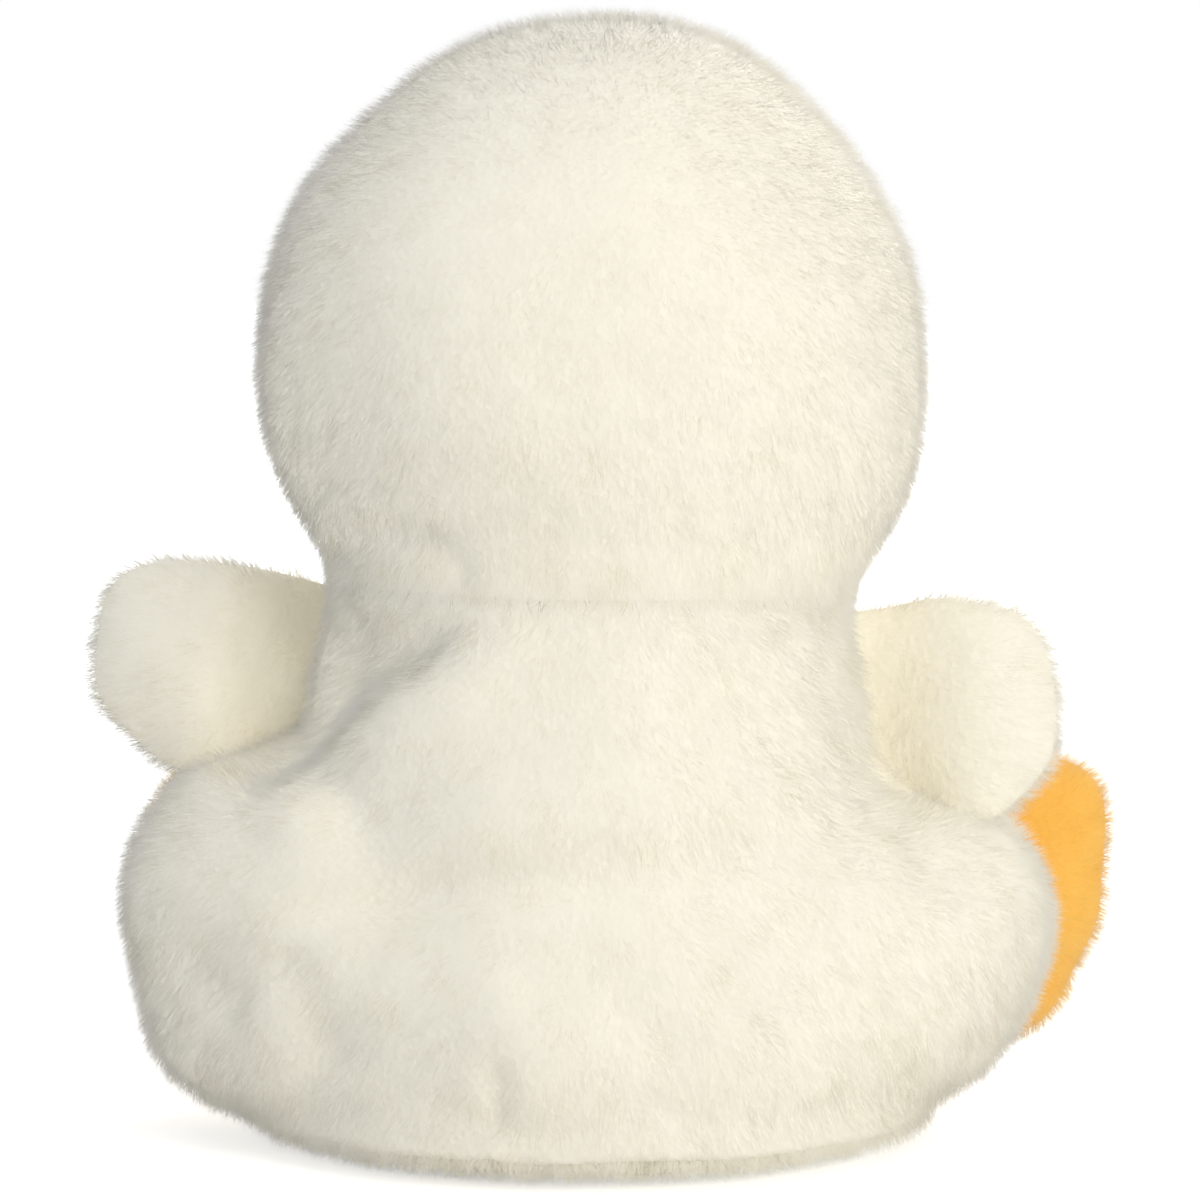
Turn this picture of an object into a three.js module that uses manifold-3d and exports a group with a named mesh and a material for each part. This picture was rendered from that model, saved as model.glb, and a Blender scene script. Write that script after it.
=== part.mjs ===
// A seated plush goose: a bean-weighted body, a round head, two padded wings and two stub legs.
// Millimetres, +Z up. The goose looks along -Y, its left side is +X, and the origin is on the
// floor below its middle. Every cover is a shell of pile fabric round its own stuffing.

import * as THREE from 'three';
import { mergeVertices } from 'three/addons/utils/BufferGeometryUtils.js';
import Module from 'manifold-3d';

const wasm = await Module();
wasm.setup();

// Head
const HEAD_RADIUS = 36.4;
const HEAD_DEPTH_RATIO = 0.97;

// Neck: the domed top of the body in a hollow of the head
const NECK_Z = 62.1;
const NECK_RADIUS = 28.3;
const NECK_PIVOT_DROP = 16;
const NECK_SEAM_SHARE = 0.94;

// Body: half sizes at three heights below the neck
const BASE_HALF_WIDTH = 30;
const BASE_HALF_DEPTH = 30;
const HIP_HALF_WIDTH = 39;
const HIP_HALF_DEPTH = 39;
const HIP_Z = 14;
const BELLY_DEPTH_RATIO = 0.86;
const BACK_HALF_WIDTH = 31;
const BACK_HALF_DEPTH = 31;
const BACK_Z = 42;
const POUCH_TOP = 14;

// Tucks in the back: one falls from the neck to the left shoulder, and one crosses above the seat
const SHOULDER_TUCK_DEPTH = 3.4;
const SHOULDER_TUCK_WIDTH = 10;
const SHOULDER_TUCK_START = 6;
const SHOULDER_TUCK_DROP = 21;
const SEAT_TUCK_DEPTH = 2;
const SEAT_TUCK_WIDTH = 5;
const SEAT_TUCK_LEFT_Z = 26;
const SEAT_TUCK_RIGHT_Z = 37;

// Wings: a root ball in the body's side and a padded flap
const WING_BALL_RADIUS = 8;
const WING_LENGTH = 25.5;
const WING_HALF_HEIGHT = 12.4;
const WING_HALF_THICKNESS = 6.6;
const WING_OUTLINE_POWER = 3;
const WING_PUFF_POWER = 2.2;
const FLAP_HEEL_DEPTH = 2;
const WING_SEAM_POLAR = 118;
const WING_PIVOT_DEPTH = 3;
const WING_PIVOT_Y = 0;
const WING_BELOW_NECK = 14;
const LEFT_WING_SWEEP = 0;
const LEFT_WING_LIFT = 8;
const RIGHT_WING_SWEEP = 6;
const RIGHT_WING_LIFT = -2;

// Legs: a thigh ball in the body's side and a broad foot
const THIGH_RADIUS = 17.5;
const HIP_PIVOT_X = 32.5;
const HIP_PIVOT_Y = -10;
const HIP_PIVOT_Z = 20;
const LEFT_LEG_SPLAY = 25;
const RIGHT_LEG_SPLAY = 33;
const LEG_PITCH = 6;
const SOLE_SEAM_REACH = 9;
const FOOT_REACH = 16.5;
const FOOT_RISE = 3;
const FOOT_HALF_WIDTH = 16;
const FOOT_HALF_HEIGHT = 17.5;
const FOOT_HALF_THICKNESS = 6.5;
const FOOT_LIP_ANGLE = 22.5;
const SOLE_CROWN_POWER = 0.7;
const LEG_SEAM_POLAR = 140;

// Beak
const BEAK_HALF_WIDTH = 12.5;
const BEAK_HALF_LENGTH = 15;
const BEAK_HALF_HEIGHT = 6.4;
const BEAK_BELOW_CENTRE = 5;
const BEAK_OUTLINE_POWER = 2.4;
const LOWER_BEAK_RATIO = 0.88;

// Eyes
const EYE_RADIUS = 4;
const EYE_DOME = 2.4;
const EYE_SHANK_RADIUS = 1.4;
const EYE_SHANK_LENGTH = 6.5;
const EYE_AZIMUTH = 34;
const EYE_ELEVATION = 10;
const WASHER_RADIUS = 4.4;
const WASHER_THICKNESS = 1;

// Cloth, thread and clearances
const COVER = 2.4;
const BEAK_COVER = 1.6;
const POUCH_CLOTH = 0.8;
const THREAD_RADIUS = 0.25;
const GAP = 0.3;
const JOINT_GAP = 1.4;

// Degrees above level, and to either side, to which a wing turns and for which its root is drawn in
const WING_MOST_LIFT = 17;
const WING_MOST_SWING = 25;

// Facets round the outer faces, and the share of them that an inner face has
const BODY_FACETS = 32;
const TRUNK_FACETS = 28;
const LIMB_FACETS = 18;
const ROOT_FACETS = 12;
const FITTING_FACETS = 16;
const THREAD_FACETS = 5;
const INNER_SHARE = 2 / 3;

// Sizes that follow from those above
const HEAD_CENTRE_Z = NECK_Z + Math.sqrt(HEAD_RADIUS ** 2 - NECK_RADIUS ** 2);
const DOME_RADIUS = Math.hypot(NECK_RADIUS, NECK_PIVOT_DROP);
const DOME_EDGE = Math.atan2(NECK_RADIUS, NECK_PIVOT_DROP);
const NECK_PIVOT = new THREE.Vector3(0, 0, NECK_Z - NECK_PIVOT_DROP);
const HEAD_CENTRE = new THREE.Vector3(0, 0, HEAD_CENTRE_Z);
const UP = new THREE.Vector3(0, 0, 1);
const BEYOND = 300;

const radians = THREE.MathUtils.degToRad;

// The body's side: half-width, half-depth and height from the base to the neck.
const bodyCurve = new THREE.CatmullRomCurve3(
  [
    new THREE.Vector3(BASE_HALF_WIDTH, BASE_HALF_DEPTH, 0),
    new THREE.Vector3(HIP_HALF_WIDTH, HIP_HALF_DEPTH, HIP_Z),
    new THREE.Vector3(BACK_HALF_WIDTH, BACK_HALF_DEPTH, BACK_Z),
    new THREE.Vector3(NECK_RADIUS, NECK_RADIUS, NECK_Z),
  ],
  false,
  'catmullrom',
);

// The half-width of the body at a height.
function halfWidthAt(height) {
  const rings = bodyCurve.getPoints(60);
  const over = rings.findIndex((ring) => ring.z > height);
  const [low, high] = [rings[over - 1], rings[over]];
  return THREE.MathUtils.mapLinear(height, low.z, high.z, low.x, high.x);
}

const SHOULDER_Z = NECK_Z - WING_BELOW_NECK;
const SHOULDER_X = halfWidthAt(SHOULDER_Z) - WING_PIVOT_DEPTH;

const SIDES = [
  { name: 'left', sign: 1, lift: LEFT_WING_LIFT, sweep: LEFT_WING_SWEEP, splay: LEFT_LEG_SPLAY },
  { name: 'right', sign: -1, lift: RIGHT_WING_LIFT, sweep: RIGHT_WING_SWEEP, splay: RIGHT_LEG_SPLAY },
].map((side) => ({
  ...side,
  shoulder: new THREE.Vector3(side.sign * SHOULDER_X, WING_PIVOT_Y, SHOULDER_Z),
  hip: new THREE.Vector3(side.sign * HIP_PIVOT_X, HIP_PIVOT_Y, HIP_PIVOT_Z),
}));

function finish(color, roughness) {
  return new THREE.MeshStandardMaterial({ color, roughness, metalness: 0 });
}

const CREAM_PLUSH = finish(0xf7f2e2, 0.95);
const ORANGE_PLUSH = finish(0xf4a53c, 0.92);
const FIBREFILL = finish(0xf4f4f0, 1);
const POUCH_FABRIC = finish(0xe9e6dc, 0.9);
const PELLETS = finish(0xd9dcde, 0.55);
const THREAD = finish(0xece6d4, 0.8);
const EYE_PLASTIC = finish(0x0b0b0c, 0.12);
const WASHER_PLASTIC = finish(0xe4e4de, 0.5);

// Closed solids

function solid(geometry) {
  geometry.deleteAttribute('normal');
  geometry.deleteAttribute('uv');
  const { index, attributes } = mergeVertices(geometry, 1e-4);
  const corners = [];
  for (let i = 0; i < index.count; i += 3) {
    const [a, b, c] = [index.getX(i), index.getX(i + 1), index.getX(i + 2)];
    if (a !== b && b !== c && c !== a) corners.push(a, b, c);
  }
  const vertProperties = Float32Array.from(attributes.position.array);
  const triVerts = Uint32Array.from(corners);
  return new wasm.Manifold(new wasm.Mesh({ numProp: 3, vertProperties, triVerts }));
}

function geometryOf(body) {
  const { vertProperties, triVerts } = body.getMesh();
  const geometry = new THREE.BufferGeometry();
  geometry.setAttribute('position', new THREE.BufferAttribute(vertProperties, 3));
  geometry.setIndex(new THREE.BufferAttribute(triVerts, 1));
  return geometry;
}

function box(low, high) {
  const room = new THREE.Box3(new THREE.Vector3(...low), new THREE.Vector3(...high));
  const size = room.getSize(new THREE.Vector3());
  const middle = room.getCenter(new THREE.Vector3());
  return solid(new THREE.BoxGeometry(...size).translate(...middle));
}

const behind = (y) => box([-BEYOND, y, -BEYOND], [BEYOND, BEYOND, BEYOND]);
const before = (y) => box([-BEYOND, -BEYOND, -BEYOND], [BEYOND, y, BEYOND]);
const above = (z) => box([-BEYOND, -BEYOND, z], [BEYOND, BEYOND, BEYOND]);
const below = (z) => box([-BEYOND, -BEYOND, -BEYOND], [BEYOND, BEYOND, z]);

// A ball about Y, turned by half a facet so that no edge runs along a seam that halves it.
function sphereOf(radius, segments) {
  return new THREE.SphereGeometry(radius, segments, Math.round(segments * 0.6)).rotateY(Math.PI / segments);
}

function ball(radius, centre, segments) {
  return solid(sphereOf(radius, segments).rotateX(Math.PI / 2).translate(...centre));
}

// A rod along Z, from one height to another.
function rod(radius, from, to) {
  const cylinder = new THREE.CylinderGeometry(radius, radius, to - from, FITTING_FACETS);
  return cylinder.rotateX(Math.PI / 2).translate(0, 0, (from + to) / 2);
}

// A puffed cushion: a ball pressed towards a box, so that its outline is a rounded square.
function pillow(halfX, halfY, halfZ, squareness, segments) {
  const sphere = sphereOf(1, segments);
  const places = sphere.attributes.position;
  const point = new THREE.Vector3();
  for (let i = 0; i < places.count; i += 1) {
    point.fromBufferAttribute(places, i);
    const spread = point.toArray().reduce((sum, part) => sum + Math.abs(part) ** squareness, 0);
    point.multiplyScalar(spread ** (-1 / squareness));
    places.setXYZ(i, point.x * halfX, point.y * halfY, point.z * halfZ);
  }
  return sphere;
}

// A lathe whose rings are stretched to their own depth. A ring is (half-width, half-depth, height).
function stuffedForm(rings, segments) {
  const profile = rings.map((ring) => new THREE.Vector2(ring.x, ring.z));
  const lathe = new THREE.LatheGeometry(profile, segments).rotateY(Math.PI / segments);
  const places = lathe.attributes.position;
  for (let i = 0; i < places.count; i += 1) {
    const ring = rings[i % rings.length];
    if (ring.x > 0) places.setZ(i, (places.getZ(i) * ring.y) / ring.x);
  }
  return lathe.rotateX(Math.PI / 2);
}

// A thread sewn round a ball, on a ring at one angle from an axis.
function seamRing(ballRadius, polar, centre, axis, segments) {
  const radius = ballRadius + GAP + THREAD_RADIUS;
  const torus = new THREE.TorusGeometry(radius * Math.sin(polar), THREAD_RADIUS, THREAD_FACETS, segments);
  torus.translate(0, 0, radius * Math.cos(polar));
  torus.applyQuaternion(new THREE.Quaternion().setFromUnitVectors(UP, axis));
  return solid(torus.translate(...centre));
}

const facets = (inset, outer) => (inset > 0 ? 2 * Math.round((INNER_SHARE * outer) / 2) : outer);

// Body

// A tuck runs from one place on the back to another, seen along Y. A folded one draws in one side only.
const TUCKS = [
  {
    from: new THREE.Vector2(SHOULDER_TUCK_START, NECK_Z),
    to: new THREE.Vector2(BACK_HALF_WIDTH, NECK_Z - SHOULDER_TUCK_DROP),
    depth: SHOULDER_TUCK_DEPTH,
    width: SHOULDER_TUCK_WIDTH,
    folded: true,
  },
  {
    from: new THREE.Vector2(BACK_HALF_WIDTH, SEAT_TUCK_LEFT_Z),
    to: new THREE.Vector2(-BACK_HALF_WIDTH, SEAT_TUCK_RIGHT_Z),
    depth: SEAT_TUCK_DEPTH,
    width: SEAT_TUCK_WIDTH,
    folded: false,
  },
];

// How far a tuck draws the cloth in at a place on the back. It fades towards both its ends.
function tuckDepth(place, { from, to, depth, width, folded }) {
  const { smoothstep } = THREE.MathUtils;
  const along = to.clone().sub(from);
  const offset = place.clone().sub(from);
  const share = offset.dot(along) / along.lengthSq();
  const apart = along.cross(offset) / along.length() / width;
  const ends = smoothstep(share, -0.1, 0.2) * smoothstep(1 - share, -0.1, 0.3);
  const fold = smoothstep(apart, -0.2, 0.3) * smoothstep(1 - apart, -0.3, 0.6);
  return depth * ends * (folded ? fold : Math.exp(-(apart ** 2)));
}

// The body's skin, or a layer that lies inset below it, from its flat base to its dome.
function bodyForm(inset) {
  const segments = BODY_FACETS;
  const sides = bodyCurve.getPoints(Math.round(segments / 2)).slice(0, -1);
  const rings = sides.map((ring) => new THREE.Vector3(ring.x - inset, ring.y - inset, ring.z));
  rings.forEach((ring) => ring.setZ(Math.max(ring.z, inset)));
  const steps = Math.round(segments / 4);
  for (let i = 0; i <= steps; i += 1) {
    const polar = DOME_EDGE * (1 - i / steps);
    const radius = (DOME_RADIUS - inset) * Math.sin(polar);
    rings.push(new THREE.Vector3(radius, radius, NECK_PIVOT.z + (DOME_RADIUS - inset) * Math.cos(polar)));
  }
  rings.unshift(new THREE.Vector3(0, 0, inset));
  const body = stuffedForm(rings, segments);
  const places = body.attributes.position;
  for (let i = 0; i < places.count; i += 1) {
    const drop = THREE.MathUtils.smoothstep(NECK_Z - places.getZ(i), 0, NECK_Z - BACK_Z);
    const ratio = THREE.MathUtils.lerp(1, BELLY_DEPTH_RATIO, drop);
    const [x, y, z] = [places.getX(i), places.getY(i), places.getZ(i)];
    if (y < 0) places.setY(i, y * ratio);
    if (y <= 0 || z > NECK_Z) continue;
    const drawn = TUCKS.reduce((sum, tuck) => sum + tuckDepth(new THREE.Vector2(x, z), tuck), 0);
    const facing = THREE.MathUtils.smoothstep(y, 0, BACK_HALF_DEPTH / 2);
    const share = 1 - (drawn * facing) / Math.hypot(x, y);
    places.setXY(i, x * share, y * share);
  }
  return solid(body);
}

// The same layer with a hollow for each limb's root.
function bodyLayer(inset) {
  return SIDES.reduce(
    (body, { shoulder, hip }) =>
      body
        .subtract(ball(WING_BALL_RADIUS + JOINT_GAP + inset, shoulder, facets(inset, ROOT_FACETS)))
        .subtract(ball(THIGH_RADIUS + JOINT_GAP + inset, hip, facets(inset, LIMB_FACETS))),
    bodyForm(inset),
  );
}

function bodyPieces() {
  const skin = bodyLayer(0);
  const shell = skin.subtract(bodyLayer(COVER)).intersect(above(COVER + GAP));
  const filling = bodyLayer(COVER + GAP);
  const pouchOutside = COVER + 2 * GAP;
  const pouchRoom = (inset) => bodyLayer(pouchOutside + inset).intersect(below(POUCH_TOP - inset));
  const mouth = solid(rod(POUCH_TOP / 3, POUCH_TOP / 2, 2 * POUCH_TOP));
  return [
    ['body_back_cover', shell.intersect(behind(GAP / 2)), CREAM_PLUSH],
    ['body_front_cover', shell.intersect(before(-GAP / 2)), CREAM_PLUSH],
    ['base_panel', skin.intersect(below(COVER)), CREAM_PLUSH],
    ['body_stuffing', filling.intersect(above(POUCH_TOP + GAP)), FIBREFILL],
    ['bean_pouch', pouchRoom(0).subtract(pouchRoom(POUCH_CLOTH)).subtract(mouth), POUCH_FABRIC],
    ['bean_pellets', pouchRoom(POUCH_CLOTH + GAP), PELLETS],
  ];
}

// Head, beak and eyes

function headBall(inset) {
  const segments = facets(inset, TRUNK_FACETS);
  const sphere = sphereOf(HEAD_RADIUS - inset, segments);
  sphere.rotateX(Math.PI / 2).scale(1, HEAD_DEPTH_RATIO, 1);
  return solid(sphere.translate(...HEAD_CENTRE));
}

function headLayer(inset) {
  const socket = ball(DOME_RADIUS + JOINT_GAP + inset, NECK_PIVOT, facets(inset, TRUNK_FACETS));
  return headBall(inset).subtract(socket);
}

// A flat, rounded bill on the front of the head, whose lower half is a little smaller than its upper one.
function billForm(inset, ratio) {
  const bill = pillow(
    BEAK_HALF_WIDTH * ratio - inset,
    BEAK_HALF_LENGTH * ratio - inset,
    BEAK_HALF_HEIGHT - inset,
    BEAK_OUTLINE_POWER,
    facets(inset, LIMB_FACETS),
  );
  return solid(bill.translate(0, -HEAD_RADIUS * HEAD_DEPTH_RATIO, HEAD_CENTRE_Z - BEAK_BELOW_CENTRE));
}

function beakPieces() {
  const mouth = HEAD_CENTRE_Z - BEAK_BELOW_CENTRE;
  const head = headBall(-GAP);
  const shell = (ratio) => billForm(0, ratio).subtract(billForm(BEAK_COVER, ratio)).subtract(head);
  const filling = billForm(BEAK_COVER + GAP, LOWER_BEAK_RATIO).subtract(head);
  return [
    ['beak_upper_cover', shell(1).intersect(above(mouth + GAP / 2)), ORANGE_PLUSH],
    ['beak_lower_cover', shell(LOWER_BEAK_RATIO).intersect(below(mouth - GAP / 2)), ORANGE_PLUSH],
    ['beak_stuffing', filling, FIBREFILL],
  ];
}

// The place on the head where an eye sits, as a frame whose +Z points out of the head.
function eyeFrame(sign) {
  const [turn, rise] = [radians(EYE_AZIMUTH), radians(EYE_ELEVATION)];
  const out = new THREE.Vector3(sign * Math.sin(turn), -Math.cos(turn), Math.tan(rise)).normalize();
  const skin = HEAD_RADIUS / Math.hypot(out.x, out.y / HEAD_DEPTH_RATIO, out.z);
  const place = out.clone().multiplyScalar(skin).add(HEAD_CENTRE);
  const turned = new THREE.Quaternion().setFromUnitVectors(UP, out);
  return new THREE.Matrix4().compose(place, turned, new THREE.Vector3(1, 1, 1));
}

// A button eye: a glossy dome on a shank that runs through the cover.
function eyeGeometry() {
  const steps = Math.round(FITTING_FACETS / 3);
  const shank = [[0, -EYE_SHANK_LENGTH], [EYE_SHANK_RADIUS, -EYE_SHANK_LENGTH], [EYE_SHANK_RADIUS, GAP]];
  const profile = [...shank, [EYE_RADIUS, GAP]].map((point) => new THREE.Vector2(...point));
  for (let i = 0; i <= steps; i += 1) {
    const angle = (Math.PI / 2) * (i / steps);
    profile.push(new THREE.Vector2(EYE_RADIUS * Math.cos(angle), 2 * GAP + EYE_DOME * Math.sin(angle)));
  }
  profile.at(-1).setX(0);
  return new THREE.LatheGeometry(profile, FITTING_FACETS).rotateX(Math.PI / 2);
}

function washerGeometry() {
  const [outer, inner] = [WASHER_RADIUS, EYE_SHANK_RADIUS + GAP];
  const [high, low] = [-COVER - GAP, -COVER - GAP - WASHER_THICKNESS];
  const corners = [[inner, low], [outer, low], [outer, high], [inner, high], [inner, low]];
  const profile = corners.map((point) => new THREE.Vector2(...point));
  return new THREE.LatheGeometry(profile, FITTING_FACETS).rotateX(Math.PI / 2);
}

function headPieces() {
  const frames = SIDES.map(({ sign }) => eyeFrame(sign));
  const drilled = (body, radius, from, to) =>
    frames.reduce((left, frame) => left.subtract(solid(rod(radius, from, to).applyMatrix4(frame))), body);
  const cover = headLayer(0).subtract(headLayer(COVER));
  const seated = drilled(cover, WASHER_RADIUS + GAP, -EYE_SHANK_LENGTH, -COVER);
  const shell = drilled(seated, EYE_SHANK_RADIUS + GAP, -EYE_SHANK_LENGTH, EYE_DOME);
  const filling = drilled(headLayer(COVER + GAP), WASHER_RADIUS + GAP, -EYE_SHANK_LENGTH - GAP, EYE_DOME);
  const eyes = SIDES.flatMap(({ name }, i) => [
    [`${name}_eye`, solid(eyeGeometry().applyMatrix4(frames[i])), EYE_PLASTIC],
    [`${name}_eye_washer`, solid(washerGeometry().applyMatrix4(frames[i])), WASHER_PLASTIC],
  ]);
  return [
    ['neck_seam', seamRing(DOME_RADIUS, NECK_SEAM_SHARE * DOME_EDGE, NECK_PIVOT, UP, TRUNK_FACETS), THREAD],
    ['head_back_cover', shell.intersect(behind(GAP / 2)), CREAM_PLUSH],
    ['head_front_cover', shell.intersect(before(-GAP / 2)), CREAM_PLUSH],
    ['head_stuffing', filling, FIBREFILL],
    ...beakPieces(),
    ...eyes,
  ];
}

// Wings and legs, each cut clear of the body where it leaves it

// A flap with a rounded square outline, drawn in at its root so that it turns clear of the body.
function flapRings(inset, segments) {
  const rise = radians(WING_MOST_LIFT);
  const swing = radians(WING_MOST_SWING);
  const seat = WING_PIVOT_DEPTH + GAP + inset;
  const drawnIn = (reach, turn) => (reach * Math.cos(turn) - seat) / Math.sin(turn);
  const outline = (share, power) => (1 - Math.abs(share) ** power) ** (1 / power);
  const [heel, root, tip] = [inset - FLAP_HEEL_DEPTH, seat / Math.cos(swing), WING_LENGTH - inset];
  const steps = Math.round(segments / 2);
  const rings = [new THREE.Vector3(0, 0, root)];
  for (let i = 1; i < steps; i += 1) {
    const reach = THREE.MathUtils.mapLinear(-Math.cos((Math.PI * i) / steps), -1, 1, root, tip);
    const share = THREE.MathUtils.mapLinear(reach, heel, tip, -1, 1);
    const breadth = (WING_HALF_HEIGHT - inset) * outline(share, WING_OUTLINE_POWER);
    const height = Math.min(breadth, drawnIn(reach, rise));
    const puff = (WING_HALF_THICKNESS - inset) * outline(share, WING_PUFF_POWER);
    const thickness = Math.min(puff, drawnIn(reach, swing));
    rings.push(new THREE.Vector3(height, thickness, reach));
  }
  rings.push(new THREE.Vector3(0, 0, tip));
  return rings;
}

function wingFlap(side, inset) {
  const segments = facets(inset, LIMB_FACETS);
  const flap = stuffedForm(flapRings(inset, segments), segments);
  flap.rotateY(side.sign * (Math.PI / 2 - radians(side.lift))).rotateZ(-side.sign * radians(side.sweep));
  return solid(flap.translate(...side.shoulder));
}

function wingPieces(side) {
  const { name, sign, shoulder } = side;
  const root = ball(WING_BALL_RADIUS, shoulder, ROOT_FACETS);
  const wing = wingFlap(side, 0).add(root).subtract(bodyLayer(-GAP)).subtract(headBall(-GAP));
  const shell = wing.subtract(wingFlap(side, COVER));
  const out = new THREE.Vector3(sign, 0, 0);
  const seam = seamRing(WING_BALL_RADIUS, radians(WING_SEAM_POLAR), shoulder, out, LIMB_FACETS);
  return [
    [`${name}_wing_seam`, seam, THREAD],
    [`${name}_wing_back_cover`, shell.intersect(behind(shoulder.y + GAP / 2)), CREAM_PLUSH],
    [`${name}_wing_front_cover`, shell.intersect(before(shoulder.y - GAP / 2)), CREAM_PLUSH],
    [`${name}_wing_stuffing`, wingFlap(side, COVER + GAP), FIBREFILL],
  ];
}

// A frame at the hip whose -Y points along the leg to its sole.
function legFrame({ sign, hip, splay }) {
  const turn = new THREE.Euler(-radians(LEG_PITCH), 0, sign * radians(splay), 'ZYX');
  const upright = new THREE.Quaternion().setFromEuler(turn);
  return new THREE.Matrix4().compose(hip, upright, new THREE.Vector3(1, 1, 1));
}

// The thigh's ball from its back to the ankle, then the foot's pad to the middle of its sole.
function legRings(inset, segments) {
  const rings = [];
  const steps = Math.round(segments / 3);
  const thigh = THIGH_RADIUS - inset;
  const ankle = Math.acos(-SOLE_SEAM_REACH / thigh);
  for (let i = 0; i <= steps; i += 1) {
    const polar = (ankle * i) / steps;
    const radius = thigh * Math.sin(polar);
    rings.push(new THREE.Vector3(radius, radius, -thigh * Math.cos(polar)));
  }
  const [width, height] = [FOOT_HALF_WIDTH - inset, FOOT_HALF_HEIGHT - inset];
  for (let i = 0; i <= steps; i += 1) {
    const turn = THREE.MathUtils.lerp(-radians(FOOT_LIP_ANGLE), Math.PI / 2, i / steps);
    const crown = i < steps ? Math.cos(turn) ** SOLE_CROWN_POWER : 0;
    const reach = FOOT_REACH + (FOOT_HALF_THICKNESS - inset) * Math.sin(turn);
    rings.push(new THREE.Vector3(width * crown, height * crown, reach));
  }
  return rings;
}

function legForm(side, inset) {
  const segments = facets(inset, LIMB_FACETS);
  const leg = stuffedForm(legRings(inset, segments), segments).rotateX(Math.PI / 2);
  const places = leg.attributes.position;
  for (let i = 0; i < places.count; i += 1) {
    const rise = FOOT_RISE * THREE.MathUtils.smoothstep(-places.getY(i), 0, FOOT_REACH);
    places.setZ(i, places.getZ(i) + rise);
  }
  return solid(leg.applyMatrix4(legFrame(side)));
}

function legPieces(side) {
  const { name, sign, hip } = side;
  const shell = legForm(side, 0).subtract(bodyLayer(-GAP)).subtract(legForm(side, COVER));
  const placed = (half) => solid(geometryOf(half).applyMatrix4(legFrame(side)));
  const out = new THREE.Vector3(sign, 0, 0);
  const seam = seamRing(THIGH_RADIUS, radians(LEG_SEAM_POLAR), hip, out, LIMB_FACETS);
  return [
    [`${name}_leg_seam`, seam, THREAD],
    [`${name}_leg_cover`, shell.intersect(placed(behind(GAP / 2 - SOLE_SEAM_REACH))), CREAM_PLUSH],
    [`${name}_foot_sole`, shell.intersect(placed(before(-GAP / 2 - SOLE_SEAM_REACH))), ORANGE_PLUSH],
    [`${name}_leg_stuffing`, legForm(side, COVER + GAP), FIBREFILL],
  ];
}

// The goose

const goose = new THREE.Group();
const limbs = [...SIDES.flatMap(wingPieces), ...SIDES.flatMap(legPieces)];
const pieces = [...bodyPieces(), ...headPieces(), ...limbs];
for (const [name, body, material] of pieces) {
  const mesh = new THREE.Mesh(geometryOf(body), material);
  mesh.name = name;
  goose.add(mesh);
}

export default goose;
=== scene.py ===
"""A small seated plush goose: stuffed skins with their folds, a short pile, a soft bill and button eyes."""

import logging
from dataclasses import dataclass, field
from enum import Enum
from typing import Any, Callable, Sequence

import bpy
import numpy as np
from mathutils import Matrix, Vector
from numpy.typing import NDArray


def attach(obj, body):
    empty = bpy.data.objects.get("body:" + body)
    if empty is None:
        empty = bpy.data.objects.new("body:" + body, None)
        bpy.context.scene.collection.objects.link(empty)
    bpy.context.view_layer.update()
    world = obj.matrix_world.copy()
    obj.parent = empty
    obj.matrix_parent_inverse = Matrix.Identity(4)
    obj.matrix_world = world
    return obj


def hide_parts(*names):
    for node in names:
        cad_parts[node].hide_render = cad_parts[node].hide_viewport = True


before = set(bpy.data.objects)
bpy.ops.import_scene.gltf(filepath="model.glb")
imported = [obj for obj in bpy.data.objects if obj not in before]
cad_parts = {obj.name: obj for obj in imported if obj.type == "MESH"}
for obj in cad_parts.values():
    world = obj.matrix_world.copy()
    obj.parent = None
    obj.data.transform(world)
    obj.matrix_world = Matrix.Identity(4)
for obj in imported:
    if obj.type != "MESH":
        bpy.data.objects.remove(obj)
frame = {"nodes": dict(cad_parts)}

Array = NDArray[np.float64]
Field = Callable[[Array, Array], Array]
Pair = tuple[float, float]
Point = tuple[float, float, float]

LOG = logging.getLogger("goose")
MM = 0.001
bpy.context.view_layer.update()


class Side(Enum):
    """The goose's own left and right. The value is the sign of X there."""

    LEFT = 1
    RIGHT = -1

    @property
    def label(self) -> str:
        """The side's name in lower case."""
        return self.name.lower()


class FoldKind(Enum):
    """How cloth moves across a fold line."""

    CREASE = "a valley on both sides of the line"
    RIDGE = "a swelling on both sides of the line"
    LEDGE = "a drop on the left of the line that eases back further out"


def linear(code: str) -> tuple[float, float, float, float]:
    """An sRGB hex colour as linear light.

    Args:
        code: Six hex digits.

    Returns:
        Red, green, blue and an alpha of 1.
    """
    srgb = np.array([int(code[i:i + 2], 16) for i in (0, 2, 4)]) / 255
    light = np.where(srgb <= 0.04045, srgb / 12.92, ((srgb + 0.055) / 1.055) ** 2.4)
    return (*light.tolist(), 1.0)


def smooth(low: float, high: float, value: Array) -> Array:
    """The S-curve 3t^2 - 2t^3, where t goes from 0 at low to 1 at high."""
    t = np.clip((value - low) / (high - low), 0, 1)
    return t * t * (3 - 2 * t)


def bell(distance: Array, width: float) -> Array:
    """The bell curve exp(-(distance/width)^2)."""
    return np.exp(-((distance / width) ** 2))


def unit(vectors: Array) -> Array:
    """Vectors scaled to length 1."""
    return vectors / np.maximum(np.linalg.norm(vectors, axis=-1, keepdims=True), 1e-9)


def around(columns: int) -> Array:
    """Even angles once round."""
    return np.linspace(0, 2 * np.pi, columns, endpoint=False)


def squared(angle: Array, power: float) -> Array:
    """The radius of a rounded square, (|cos|^p + |sin|^p)^(-1/p). It is a circle when p is 2."""
    return (np.abs(np.cos(angle)) ** power + np.abs(np.sin(angle)) ** power) ** (-1 / power)


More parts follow.
